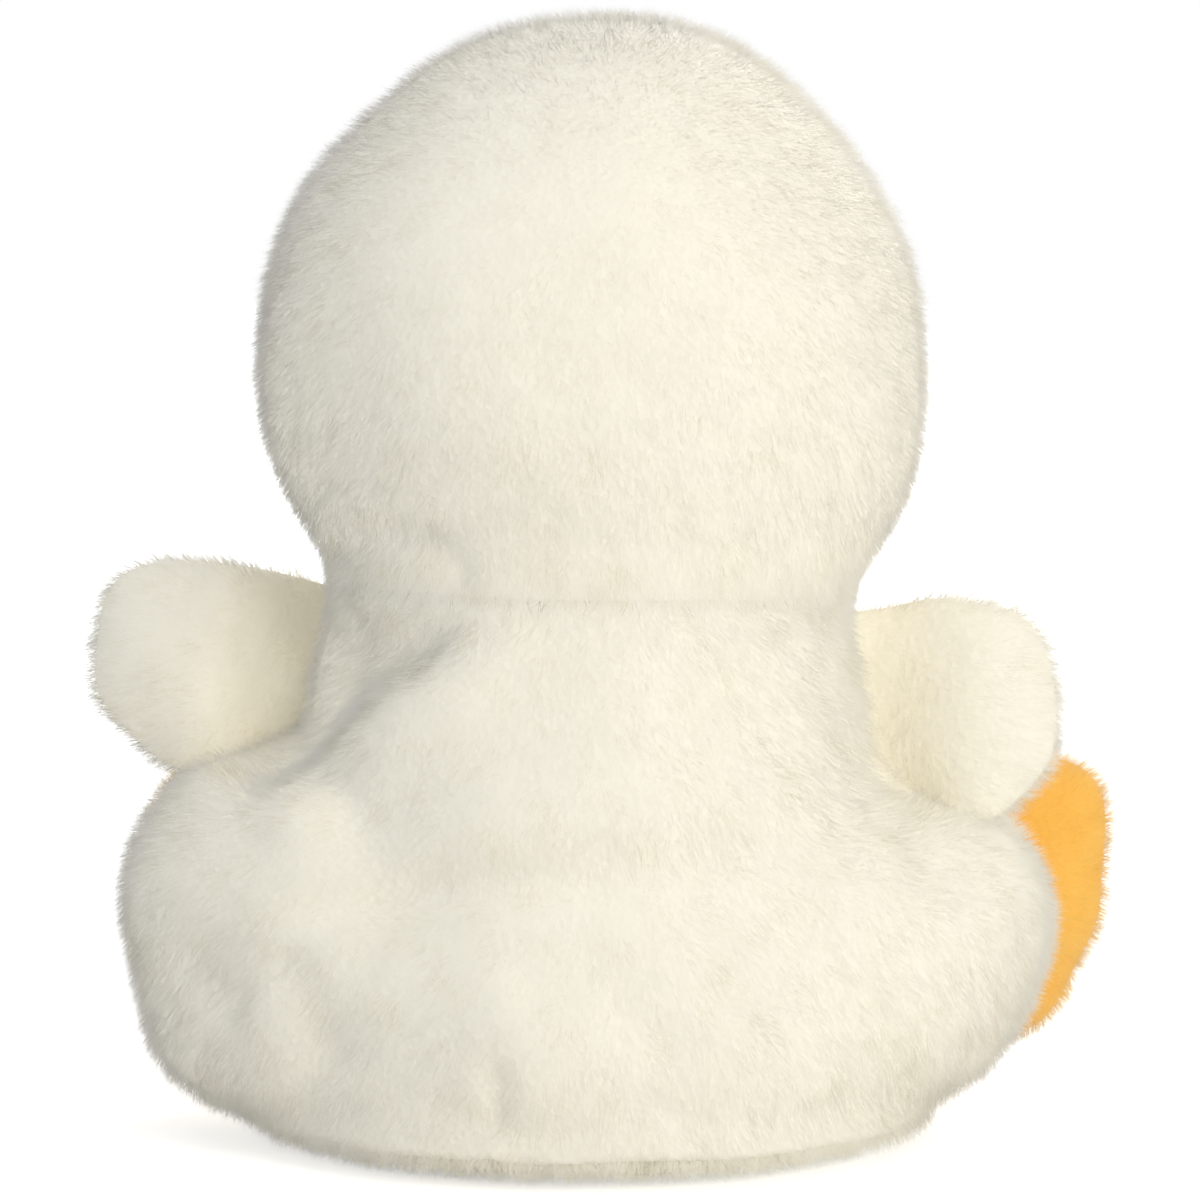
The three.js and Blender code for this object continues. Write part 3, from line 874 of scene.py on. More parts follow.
@dataclass
class Body:
    """The pear-shaped body, with a hip on each side, its seat and the dome under the head. Millimetres."""

    profile: tuple[Pair, ...] = (
        (0.0, 0.7), (15.0, 0.6), (27.6, 0.8), (33.0, 3.2), (36.4, 8.0), (37.2, 14.0), (36.3, 20.0),
        (33.9, 28.0), (31.4, 36.0), (29.8, 43.0), (28.8, 49.0), (27.8, 54.0), (27.1, 58.0), (26.9, 60.0),
        (26.2, 61.7), (24.9, 63.5), (23.0, 66.0), (18.0, 70.6), (10.0, 74.8), (0.0, 76.5),
    )
    pouch_radius: float = 36.1
    pouch_top: float = 14.5
    pouch_foot: Pair = (1.5, 3.5)
    pouch_ease: float = 4.0
    belly_ratio: float = 0.86
    belly_top: float = 62.0
    belly_full: float = 42.0
    hips: tuple[Point, ...] = ((25.0, -1.5, 27.0), (-25.0, -3.5, 24.0))
    hip_radii: tuple[tuple[float, float, float, float], ...] = (
        (24.2, 24.5, 16.4, 34.0), (21.8, 22.0, 16.2, 20.3),
    )
    hip_fillet: float = 9.0
    hip_near: Pair = (-14.0, -2.0)
    hip_top: Pair = (60.0, 46.0)
    hip_foot: Pair = (0.0, 9.0)
    hip_out: Pair = (12.0, 24.0)
    base_seam: float = 2.0
    neck_seam: float = 57.0
    side_seam: float = 1.2
    uneven: float = 0.35
    uneven_mm: float = 26.0
    flat_low: Pair = (0.8, 5.0)
    flat_high: Pair = (60.0, 54.0)
    seat_share: float = 0.06
    seat_band: Pair = (0.6, 1.6)
    close_share: float = 0.6
    close_band: Pair = (54.0, 58.0)
    hidden_band: Pair = (63.0, 61.0)
    rows: int = 62
    columns: int = 112
    pile: Pile = Pile(CREAM_PILE, 2.5)
    folds: tuple[Fold, ...] = (
        Fold(
            ((-38.0, -24.0), (-31.2, -20.2), (-22.6, -12.8), (-17.2, -8.1), (-9.0, 1.5)),
            3.8, 4.2, FoldKind.LEDGE,
        ),
        Fold(
            ((-36.0, -36.0), (-25.8, -34.4), (-15.1, -32.6), (-3.3, -31.6), (11.7, -29.6), (22.0, -26.0)),
            1.5, 2.8,
        ),
        Fold(
            ((-30.0, -29.0), (-18.0, -27.0), (-4.0, -25.5), (12.0, -24.0), (25.0, -21.0)),
            0.9, 4.5, FoldKind.RIDGE,
        ),
        Fold(((-44.0, -38.0), (-40.0, -43.6), (-36.0, -45.7)), 1.0, 3.0),
        Fold(((-33.5, -38.0), (-30.0, -46.0), (-26.0, -53.6)), 1.0, 3.2),
        Fold(((-10.2, -50.0), (-10.0, -57.0), (-10.1, -65.0)), 0.8, 1.6),
        Fold(((-9.8, -44.6), (-3.3, -43.0), (3.1, -43.5), (10.6, -52.6)), 0.7, 3.0),
        Fold(((32.0, -17.0), (35.4, -26.6), (39.0, -31.0), (43.0, -34.2)), 1.2, 3.0),
    )

    def radius_of_hips(self, angle: Array, height: Array) -> Array:
        """How far from the body's axis a hip reaches: the outer root of a line through an ellipsoid.

        Args:
            angle: Angles about Z.
            height: Heights in millimetres.

        Returns:
            Millimetres, or less than nothing where a hip isn't met.
        """
        missed = -1e3
        reach = np.full(np.broadcast(angle, height).shape, missed)
        for (x, y, z), (rx, ry, over, below) in zip(self.hips, self.hip_radii):
            rz = np.where(height > z, over, below)
            dx, dy = np.cos(angle) / rx, np.sin(angle) / ry
            square = dx**2 + dy**2
            half = (dx * x / rx + dy * y / ry) / square
            rest = ((x / rx) ** 2 + (y / ry) ** 2 + ((height - z) / rz) ** 2 - 1) / square
            under = half**2 - rest
            met = half + np.sign(under) * np.sqrt(np.abs(under))
            reach = np.maximum(reach, np.where(half > 0, met, missed))
        return reach

    def rings(self) -> Array:
        """The body's rings: its profile turned about Z, flattened in front and joined to its hips.

        The two radii a and b join as (a + b + sqrt((a - b)^2 + k^2)) / 2, a soft maximum.

        Returns:
            Rings of points from the seat to the top of the dome.
        """
        line = through(self.profile, self.rows)
        angle = around(self.columns)[None, :]
        torso, height = line[:, :1], line[:, 1:]
        hip = self.radius_of_hips(angle, height)
        joined = (torso + hip + np.sqrt((torso - hip) ** 2 + self.hip_fillet**2)) / 2
        share = smooth(*self.hip_near, hip - torso) * smooth(*self.hip_top, height)
        share = share * smooth(*self.hip_foot, height)
        radius = torso + share * smooth(*self.hip_out, torso) * np.maximum(joined - torso, 0)
        x, y = radius * np.cos(angle), radius * np.sin(angle)
        ratio = 1 - (1 - self.belly_ratio) * smooth(self.belly_top, self.belly_full, height)
        return np.stack([x, np.where(y < 0, y * ratio, y), np.broadcast_to(height, x.shape)], -1)

    def build(self) -> bpy.types.Object:
        """Makes the skin, stuffs it and lays its folds.

        Returns:
            The skin.
        """
        skin = closed_surface("body_skin", self.rings())
        _, y, z = read_points(skin.data)[0].T
        STUFFING.fill(skin, (z < self.base_seam) | (z > self.neck_seam) | (np.abs(y) < self.side_seam))
        subdivide(skin)
        points, normals = read_points(skin.data)
        places, high = VIEW.plane(points), points[:, 2]
        lift = sum(fold.lift(places) for fold in self.folds) * VIEW.facing(normals)
        lift = lift + self.uneven * ripples(points, self.uneven_mm, 3)
        lift = lift * smooth(*self.flat_low, high) * smooth(*self.flat_high, high)
        move_points(skin, self.round_pouch(points + lift[:, None] * normals))
        return skin

    def round_pouch(self, points: Array) -> Array:
        """Keeps the cloth outside the pouch: low points nearer to the axis than its oval go out to it.

        Args:
            points: The skin's points.

        Returns:
            The points, each no nearer than the oval.
        """
        ratio = np.where(points[:, 1] < 0, self.belly_ratio, 1.0)
        out = np.hypot(points[:, 0], points[:, 1] / ratio)
        high = points[:, 2]
        oval = self.pouch_radius * smooth(*self.pouch_foot, high)
        oval = oval * smooth(self.pouch_top + self.pouch_ease, self.pouch_top, high)
        share = np.maximum(1.0, oval / np.maximum(out, 1.0))
        return points * np.stack([share, share, np.ones(len(points))], 1)

    def cover(self, points: Array, normals: Array) -> Array:
        """Full cover, closer at the neck, with little under the seat and none deep under the head.

        Args:
            points: Places in millimetres.
            normals: Not used.

        Returns:
            Shares of the full density.
        """
        high = points[:, 2]
        seat = self.seat_share + (1 - self.seat_share) * smooth(*self.seat_band, high)
        close = 1 + self.close_share * smooth(*self.close_band, high)
        return seat * smooth(*self.hidden_band, high) * close

    def dress(self, skin: bpy.types.Object) -> None:
        """Finishes the skin and plants its pile.

        Args:
            skin: The body's skin.
        """
        CREAM_GROUND.put_on(skin)
        nodes = ("body_back_cover", "body_front_cover", "base_panel", "body_stuffing")
        settle("body", [skin], nodes)
        lay = brushed((0.0, 0.0, -1.0), 0.7, (0.0, 0.0, 40.0))
        settle("body", self.pile.plant(skin, "body_pile", lay, self.cover, 11, level_light))


@dataclass
class Head:
    """The round head, hollowed below for the body's dome. Millimetres."""

    centre: Point = (0.0, 0.0, 85.0)
    radius: float = 35.2
    depth_ratio: float = 0.97
    pivot_height: float = 46.1
    hollow_radius: float = 31.4
    hollow_edge: float = 66.0
    ball_edge: float = 66.6
    neck: tuple[Pair, ...] = (
        (25.6, 64.3), (26.7, 62.5), (27.25, 60.8), (27.35, 59.9), (27.55, 60.5), (28.0, 62.0), (28.9, 64.0),
    )
    rim_wave: float = 0.2
    rim_tilt: float = 0.9
    rim_band: Pair = (68.0, 61.0)
    rim_out: Pair = (24.0, 27.0)
    flat_band: Pair = (62.0, 72.0)
    outer_band: Pair = (27.5, 28.4)
    crown_band: Pair = (78.0, 86.0)
    swell_band: Pair = (61.0, 66.0)
    swell_size: Pair = (0.33, 0.3)
    uneven_band: Pair = (66.0, 76.0)
    hollow_look: Pair = (-0.85, -0.5)
    close_band: Pair = (66.0, 62.0)
    skirt_band: Pair = (63.4, 62.0)
    skirt_look: Pair = (0.0, 0.4)
    neck_seam: float = 68.0
    side_seam: float = 1.0
    uneven: float = 0.25
    uneven_mm: float = 30.0
    hollow_rows: int = 9
    neck_rows: int = 16
    ball_rows: int = 44
    columns: int = 112
    pile: Pile = Pile(CREAM_PILE, 2.1)
    neck_pile: Pile = Pile(CREAM_PILE, 2.6, 66.0, per_mm2=24.0)
    swellings: tuple[Point, ...] = (
        (-0.6, 0.75, -1.4), (0.78, 0.6, -1.0), (0.35, 0.95, 0.5), (0.85, -0.5, 1.6),
    )
    folds: tuple[Fold, ...] = (
        Fold(
            ((-31.0, 1.5), (-27.0, 4.2), (-22.5, 5.2), (-18.5, 4.6), (-15.0, 2.4), (-12.0, -1.6)),
            0.8, 1.9,
        ),
    )

    def profile(self) -> Array:
        """The half outline: up the hollow, round the thin edge at the neck and over the ball to the crown.

        Returns:
            Radius and height, from the middle of the hollow to the crown.
        """
        edge_angle = np.arccos((self.hollow_edge - self.pivot_height) / self.hollow_radius)
        inner = np.linspace(0.02, edge_angle, self.hollow_rows)
        hollow = np.stack([np.sin(inner), np.cos(inner)], 1) * self.hollow_radius + (0.0, self.pivot_height)
        outer = np.linspace(np.arccos((self.ball_edge - self.centre[2]) / self.radius), 0.0, self.ball_rows)
        ball = np.stack([np.sin(outer), np.cos(outer)], 1) * self.radius + (0.0, self.centre[2])
        edge = through(np.vstack([hollow[-1:], self.neck, ball[:1]]), self.neck_rows)
        return np.vstack([[0.0, hollow[0, 1]], hollow, edge[1:-1], ball])

    def rings(self) -> Array:
        """The head's rings: its outline turned about Z, with a rim that waves and tilts a little.

        Returns:
            Rings of points from the hollow to the crown.
        """
        line = self.profile()
        angle = around(self.columns)[None, :]
        out, height = line[:, :1], line[:, 1:]
        depth = 1 - (1 - self.depth_ratio) * smooth(*self.flat_band, height)
        rim = smooth(*self.rim_band, height) * smooth(*self.rim_out, out)
        wavy = rim * (self.rim_wave * np.sin(3 * angle + 1.0) + self.rim_tilt * np.cos(angle))
        return np.stack([out * np.cos(angle), out * np.sin(angle) * depth, height + wavy], -1)

    def swell(self, normals: Array) -> Array:
        """The ball's uneven roundness: bell curves about places of the view, by where a face looks.

        Args:
            normals: The skin's normals.

        Returns:
            Millimetres outwards.
        """
        right, up, _ = VIEW.axes()
        side, high = normals @ right, normals @ up
        wide, tall = self.swell_size
        return sum(out * bell(side - x, wide) * bell(high - y, tall) for x, y, out in self.swellings)

    def build(self) -> bpy.types.Object:
        """Makes the skin, stuffs it and lays its folds.

        Returns:
            The skin.
        """
        skin = closed_surface("head_skin", self.rings())
        _, y, z = read_points(skin.data)[0].T
        STUFFING.fill(skin, (z < self.neck_seam) | (np.abs(y) < self.side_seam))
        subdivide(skin)
        points, normals = read_points(skin.data)
        x, y, high = points.T
        creases = sum(fold.lift(VIEW.plane(points)) for fold in self.folds) * VIEW.facing(normals)
        outside = np.maximum(smooth(*self.outer_band, np.hypot(x, y)), smooth(*self.crown_band, high))
        lift = self.uneven * ripples(points, self.uneven_mm, 7) * smooth(*self.uneven_band, high)
        lift = lift + outside * (creases + self.swell(normals) * smooth(*self.swell_band, high))
        move_points(skin, points + lift[:, None] * normals)
        return skin

    def cover(self, points: Array, normals: Array) -> Array:
        """Full cover outside, closer round the rim, and none in the hollow, whose faces look at its pivot.

        Args:
            points: Places in millimetres.
            normals: The skin's normals there.

        Returns:
            Shares of the full density.
        """
        away = unit(points - np.array([0.0, 0.0, self.pivot_height]))
        close = 1 + smooth(*self.close_band, points[:, 2])
        return smooth(*self.hollow_look, (away * normals).sum(1)) * close

    def neck_cover(self, points: Array, normals: Array) -> Array:
        """Full cover on the outside of the rim alone, so that its pile closes over the seam."""
        outwards = (normals * unit(points * (1.0, 1.0, 0.0))).sum(1)
        return smooth(*self.skirt_band, points[:, 2]) * smooth(*self.skirt_look, outwards)

    def dress(self, skin: bpy.types.Object) -> None:
        """Finishes the skin and plants its pile.

        Args:
            skin: The head's skin.
        """
        CREAM_GROUND.put_on(skin)
        settle("head", [skin], ("head_back_cover", "head_front_cover", "head_stuffing"))
        lay = brushed((0.0, 0.12, -1.0), 0.35, self.centre)
        made = self.pile.plant(skin, "head_pile", lay, self.cover, 23, level_light)
        down = brushed((0.0, 0.0, -1.0))
        made += self.neck_pile.plant(skin, "neck_pile", down, self.neck_cover, 29, level_light)
        settle("head", made)


@dataclass(frozen=True)
class Placing:
    """A limb's own axes: its turn and the place of its root."""

    turn: Array
    place: Array

    def local(self, points: Array) -> Array:
        """Points of the shared frame, in the limb's own axes."""
        return (points - self.place) @ self.turn

    def placed(self, points: Array) -> Array:
        """Points of the limb's own axes, in the shared frame."""
        return points @ self.turn.T + self.place


@dataclass
class Wing:
    """A padded wing: a rounded flap that leaves the body's side. Millimetres and degrees."""

    side: Side
    lift: float
    sweep: float
    length: float
    half_height: float
    drop: float
    shoulder: Point = (26.876, 0.0, 48.1)
    root: float = -4.0
    half_thickness: float = 5.8
    tuck: float = 3.4
    square_from: float = 8.0
    tip_power: float = 3.1
    edge_power: float = 2.2
    root_height: float = 0.84
    height_band: Pair = (1.0, 12.0)
    root_thickness: float = 0.36
    thick_band: Pair = (1.0, 16.0)
    root_round: float = 2.5
    tuck_band: Pair = (15.0, 0.0)
    corner_cut: float = 0.2
    corner_band: Pair = (0.45, 1.0)
    seam_depth: float = 0.5
    seam_width: float = 0.9
    seam_band: Pair = (12.0, 16.0)
    root_seam: float = 1.0
    edge_seam: float = 0.7
    uneven: float = 0.3
    uneven_mm: float = 16.0
    rows: int = 30
    columns: int = 44
    pile: Pile = Pile(CREAM_PILE, 2.5, 52.0)

    @property
    def placing(self) -> Placing:
        """The wing's axes, whose X runs along the wing.

        Returns:
            Its turn and the place of its root.
        """
        sign = self.side.value
        turn = turned(-sign * self.sweep, "Z") @ turned(-sign * self.lift, "Y") @ np.diag([sign, 1.0, 1.0])
        return Placing(turn, np.asarray(self.shoulder) * (sign, 1, 1) - (0.0, 0.0, self.drop))

    def rings(self) -> Array:
        """The wing's rings: a rounded square flap, (1 - |t|^p)^(1/p) along its reach.

        Returns:
            Rings of points from the root to the tip, in the wing's own axes.
        """
        t = -np.cos(np.linspace(0, np.pi, self.rows))[:, None]
        reach = self.root + (self.length - self.root) * (t + 1) / 2
        late = np.clip((reach - self.square_from) / (self.length - self.square_from), 0, 1)
        height = self.half_height * (1 - late**self.tip_power) ** (1 / self.tip_power)
        height = height * (self.root_height + (1 - self.root_height) * smooth(*self.height_band, reach))
        thick = self.half_thickness * (1 - late**self.edge_power) ** (1 / self.edge_power)
        thick = thick * (self.root_thickness + (1 - self.root_thickness) * smooth(*self.thick_band, reach))
        start = smooth(self.root, self.root + self.root_round, reach)
        angle = around(self.columns)[None, :] * -self.side.value
        ring = squared(angle, self.edge_power)
        y = thick * start * ring * np.sin(angle) - self.tuck * smooth(*self.tuck_band, reach)
        low = np.where(np.cos(angle) < 0, 1 - self.corner_cut * smooth(*self.corner_band, late), 1.0)
        z = height * start * ring * np.cos(angle) * low
        return np.stack([np.broadcast_to(reach, y.shape), y, z], -1)

    def build(self) -> bpy.types.Object:
        """Makes the skin, stuffs it and draws in the seam round its edge.

        Returns:
            The skin.
        """
        placing = self.placing
        skin = closed_surface(f"{self.side.label}_wing_skin", placing.placed(self.rings()))
        local = placing.local(read_points(skin.data)[0])
        STUFFING.fill(skin, (local[:, 0] < self.root_seam) | (np.abs(local[:, 1]) < self.edge_seam))
        subdivide(skin)
        points, normals = read_points(skin.data)
        local = placing.local(points)
        seam = bell(local[:, 1], self.seam_width) * smooth(*self.seam_band, local[:, 0])
        lift = self.uneven * ripples(points, self.uneven_mm, 31 + self.side.value) - self.seam_depth * seam
        move_points(skin, points + lift[:, None] * normals)
        return skin

    def cover(self, points: Array, normals: Array) -> Array:
        """Full cover, but none on the root, which the body hides."""
        return smooth(-3.0, -1.0, self.placing.local(points)[:, 0])

    def dress(self, skin: bpy.types.Object) -> None:
        """Finishes the skin and plants its pile.

        Args:
            skin: The wing's skin.
        """
        name = f"{self.side.label}_wing"
        CREAM_GROUND.put_on(skin)
        nodes = [f"{name}_{part}" for part in ("back_cover", "front_cover", "stuffing")]
        settle(name, [skin], nodes)
        lay = brushed(self.placing.turn @ np.array([1.0, 0.0, -0.35]))
        made = self.pile.plant(skin, f"{name}_pile", lay, self.cover, 41 + self.side.value)
        settle(name, made)


@dataclass
class Leg:
    """A stub leg: a ball in the hip and a broad orange foot. Millimetres and degrees."""

    side: Side
    splay: float
    foot_rise: float = 3.0
    foot_half_width: float = 14.9
    foot_half_height: float = 16.4
    foot_roll: float = 6.0
    foot_fan: float = 0.08
    foot_power: float = 2.0
    hip: Point = (32.5, -10.0, 20.0)
    pitch: float = 6.0
    thigh_radius: float = 16.2
    thigh_end: float = 0.8
    ankle_reach: float = 9.0
    foot_reach: float = 16.5
    foot_half_thickness: float = 5.6
    edge_power: float = 0.62
    toe_spread: float = 52.0
    toe_depth: float = 0.07
    stitch_depth: float = 1.1
    stitch_width: float = 1.5
    hip_seam: float = -8.0
    ankle_seam: float = 1.2
    uneven: float = 0.25
    uneven_mm: float = 14.0
    thigh_rows: int = 20
    foot_rows: int = 26
    columns: int = 72
    pile: Pile = Pile(CREAM_PILE, 2.3)
    foot_pile: Pile = Pile(ORANGE_PILE, 1.9, 36.0)

    @property
    def placing(self) -> Placing:
        """The leg's axes, whose -Y runs along the leg.

        Returns:
            Its turn and the place of its hip.
        """
        sign = self.side.value
        turn = turned(sign * self.splay, "Z") @ turned(-self.pitch, "X")
        return Placing(turn, np.asarray(self.hip) * (sign, 1, 1))

    @property
    def roll(self) -> float:
        """The foot's roll in radians, outwards on its own side."""
        return self.side.value * np.radians(self.foot_roll)

    def reach_of(self, points: Array) -> Array:
        """How far along the leg points are."""
        return -self.placing.local(points)[:, 1]

    def toes(self, angle: Array) -> Array:
        """The web's outline: an oval that fans out upwards, with a lobe for each of three toes.

        Args:
            angle: Angles round the foot, from its right.

        Returns:
            Shares of the half-width and of the half-height.
        """
        off = np.abs(np.degrees(np.arctan2(np.cos(angle), np.sin(angle))))
        lobes = np.cos(np.radians(np.minimum(off, self.toe_spread) * 360 / self.toe_spread))
        toed = 1 + self.toe_depth * lobes * smooth(120.0, self.toe_spread, off)
        oval = np.stack([np.cos(angle) * (1 + self.foot_fan * np.sin(angle)), np.sin(angle)])
        return oval * (squared(angle, self.foot_power) * toed)

    def loft(self, reach: Array, width: Array, height: Array, outline: Array) -> Array:
        """Rings across the leg that rise towards the foot and roll with it.

        Args:
            reach: How far along the leg each ring is.
            width: Its half-width.
            height: Its half-height.
            outline: The ring's shape, as shares of the half-width and of the half-height.

        Returns:
            Rings of points in the shared frame.
        """
        rise = self.foot_rise * smooth(0.0, self.foot_reach, reach)[:, None]
        flat_x, flat_z = width[:, None] * outline[0], height[:, None] * outline[1]
        x = flat_x * np.cos(self.roll) + flat_z * np.sin(self.roll)
        z = flat_z * np.cos(self.roll) - flat_x * np.sin(self.roll) + rise
        return self.placing.placed(np.stack([x, np.broadcast_to(-reach[:, None], x.shape), z], -1))

    def stitches(self, points: Array, normals: Array) -> Array:
        """How deep two lines of stitches between the toes draw the sole in: exp(-(d/width)^2) by distance d.

        Args:
            points: The foot's points.
            normals: Its normals.

        Returns:
            Millimetres inwards for each point.
        """
        x, _, z = (self.placing.local(points) - (0.0, 0.0, self.foot_rise)).T
        across = x * np.cos(self.roll) - z * np.sin(self.roll)
        up = z * np.cos(self.roll) + x * np.sin(self.roll)
        drawn = np.zeros(len(points))
        for lean in (-0.5, 0.5):
            a = np.radians(lean * self.toe_spread)
            end = np.array([np.sin(a) * self.foot_half_width, np.cos(a) * self.foot_half_height])
            start = np.array([0.25 * end[0], -0.2 * self.foot_half_height])
            rel, way = np.stack([across, up], 1) - start, end - start
            share = np.clip(rel @ way / (way @ way), 0, 1)
            far = np.linalg.norm(rel - share[:, None] * way, axis=1)
            drawn += bell(far, self.stitch_width) * smooth(0.0, 0.25, share)
        return self.stitch_depth * drawn * smooth(0.0, 0.5, -(normals @ self.placing.turn)[:, 1])

    def thigh(self) -> bpy.types.Object:
        """Makes the thigh: a ball about the hip, cut off where the foot begins.

        Returns:
            The skin, not yet stuffed.
        """
        polar = np.linspace(0, np.pi - np.arcsin(self.thigh_end), self.thigh_rows)
        ball = np.stack([self.thigh_radius * np.sin(polar), -self.thigh_radius * np.cos(polar)], 1)
        closing = np.array([[ball[-1, 0] * 0.8, ball[-1, 1] + 0.8], [0.0, ball[-1, 1] + 1.0]])
        out, reach = np.vstack([ball, closing]).T
        angle = around(self.columns)
        plain = np.stack([np.cos(angle), np.sin(angle)])
        return closed_surface(f"{self.side.label}_leg_skin", self.loft(reach, out, out, plain))

    def foot(self) -> bpy.types.Object:
        """Makes the foot: the web's outline, scaled by cos(t)^p from the ankle round to the sole.

        Returns:
            The skin, not yet stuffed.
        """
        t = np.linspace(-np.pi / 2, np.pi / 2, self.foot_rows)
        crown = np.cos(t) ** self.edge_power
        crown[[0, -1]] = 0
        thick = np.where(t < 0, self.foot_reach - self.ankle_reach + 0.6, self.foot_half_thickness)
        reach = self.foot_reach + thick * np.sin(t)
        web = self.toes(around(self.columns))
        rings = self.loft(reach, self.foot_half_width * crown, self.foot_half_height * crown, web)
        return closed_surface(f"{self.side.label}_foot_skin", rings)

    def build(self) -> tuple[bpy.types.Object, bpy.types.Object]:
        """Makes the leg's skin and the foot's, and stuffs them.

        Returns:
            The two skins.
        """
        thigh, foot = self.thigh(), self.foot()
        for skin, seam_at in ((thigh, self.ankle_reach), (foot, self.foot_reach - 1.0)):
            reach = self.reach_of(read_points(skin.data)[0])
            sewn = (reach < self.hip_seam) | (np.abs(reach - seam_at) < self.ankle_seam)
            STUFFING.fill(skin, sewn | ((skin is foot) & (reach < self.ankle_reach + 1)))
            subdivide(skin)
            points, normals = read_points(skin.data)
            lift = self.uneven * ripples(points, self.uneven_mm, 53 + self.side.value)
            if skin is foot:
                lift -= self.stitches(points, normals)
            move_points(skin, points + lift[:, None] * normals)
        return thigh, foot

    def cover(self, points: Array, normals: Array) -> Array:
        """Cover on the end of the thigh alone, because the hip hides the rest."""
        return smooth(1.0, 4.0, self.reach_of(points))

    def foot_cover(self, points: Array, normals: Array) -> Array:
        """Full cover on the foot, but none where it sinks into the leg."""
        return smooth(self.ankle_reach - 0.5, self.ankle_reach + 1.5, self.reach_of(points))

    def dress(self, thigh: bpy.types.Object, foot: bpy.types.Object) -> None:
        """Finishes the skins and plants their pile.

        Args:
            thigh: The leg's skin.
            foot: The foot's skin.
        """
        label, body = self.side.label, f"{self.side.label}_leg"
        CREAM_GROUND.put_on(thigh)
        ORANGE_GROUND.put_on(foot)
        settle(body, [thigh], (f"{label}_leg_cover", f"{label}_leg_stuffing"))
        settle(body, [foot], (f"{label}_foot_sole",))
        placing = self.placing
        forward = placing.turn @ np.array([0.0, -1.0, -0.3])
        lay, seed = brushed(forward), 61 + self.side.value
        made = self.pile.plant(thigh, f"{label}_leg_pile", lay, self.cover, seed)
        settle(body, made)
        middle = placing.turn @ np.array([0.0, -self.foot_reach, self.foot_rise]) + placing.place
        lay, seed = brushed(forward * 0.3, 1.0, middle), 71 + self.side.value
        made = self.foot_pile.plant(foot, f"{label}_foot_pile", lay, self.foot_cover, seed, raised_light)
        settle(body, made)


@dataclass
class Bill:
    """A flat soft bill with an upper and a lower half. Millimetres."""

    centre: Point = (0.0, -35.3, 80.0)
    half_width: float = 11.8
    half_length: float = 14.3
    half_height: float = 5.7
    mouth_height: float = 0.6
    mouth_gap: float = 0.7
    lower_ratio: float = 0.86
    tip_taper: float = 0.38
    smile: float = 1.0
    outline_power: float = 2.4
    edge_power: float = 0.8
    crown_power: float = 1.1
    face_seam: float = 1.0
    mouth_seam: float = 0.8
    columns: int = 56
    rows: int = 22
    pile: Pile = Pile(ORANGE_PILE, 1.2, 40.0, per_mm2=14.0)

    def half(self, name: str, up: float, ratio: float) -> bpy.types.Object:
        """One half of the bill: a rounded oval that is puffed on its outside and flat at the mouth.

        Args:
            name: The piece's name.
            up: 1 for the upper half, -1 for the lower one.
            ratio: Its size as a share of the upper half's.

        Returns:
            The skin.
        """
        polar = np.linspace(0, np.pi, self.rows)[:, None]
        angle = around(self.columns)[None, :]
        out = np.sin(polar) ** self.edge_power
        square = squared(angle, self.outline_power)
        x = self.half_width * ratio * out * square * np.cos(angle)
        y = self.half_length * ratio * out * square * np.sin(angle)
        high = -np.cos(polar)
        outside = self.half_height * np.abs(high) ** self.crown_power
        puff = np.where(high * up > 0, outside, self.mouth_height * np.abs(high))
        z = np.broadcast_to(puff * np.sign(high), x.shape) + up * self.mouth_gap
        return closed_surface(name, np.stack([x, y, z], -1) + np.asarray(self.centre))

    def bend(self, points: Array) -> Array:
        """Thins the bill towards its tip, and turns its corners up by the square of their place across.

        Args:
            points: The skin's points.

        Returns:
            The points, bent.
        """
        x, y, z = (points - np.asarray(self.centre)).T
        thin = 1 - self.tip_taper * smooth(0.1, 1.0, -y / self.half_length)
        z = z * thin + self.smile * (x / self.half_width) ** 2
        return np.stack([x, y, z], 1) + np.asarray(self.centre)

    def build(self) -> list[bpy.types.Object]:
        """Makes both halves, stuffs them and bends them.

        Returns:
            The upper and the lower skin.
        """
        made = []
        for name, up, ratio in (("bill_upper_skin", 1.0, 1.0), ("bill_lower_skin", -1.0, self.lower_ratio)):
            skin = self.half(name, up, ratio)
            _, y, z = read_points(skin.data)[0].T
            mouth = np.abs(z - self.centre[2] - up * self.mouth_gap) < self.mouth_seam
            STUFFING.fill(skin, (y > self.centre[1] - self.face_seam) | mouth)
            subdivide(skin)
            move_points(skin, self.bend(read_points(skin.data)[0]))
            made.append(skin)
        return made

    def cover(self, points: Array, normals: Array) -> Array:
        """Full cover in front of the face, and none behind it."""
        return smooth(self.centre[1] + 4.0, self.centre[1] + 1.0, points[:, 1])

    def dress(self, skins: list[bpy.types.Object]) -> None:
        """Finishes the halves and plants their pile.

        Args:
            skins: The upper and the lower skin.
        """
        nodes = (("beak_upper_cover", "beak_stuffing"), ("beak_lower_cover",))
        forward = brushed((0.0, -1.0, 0.0))
        for number, (skin, stands_for) in enumerate(zip(skins, nodes)):
            ORANGE_GROUND.put_on(skin)
            settle("head", [skin], stands_for)
            name = skin.name.replace("skin", "pile")
            made = self.pile.plant(skin, name, forward, self.cover, 83 + number, raised_light)
            settle("head", made)


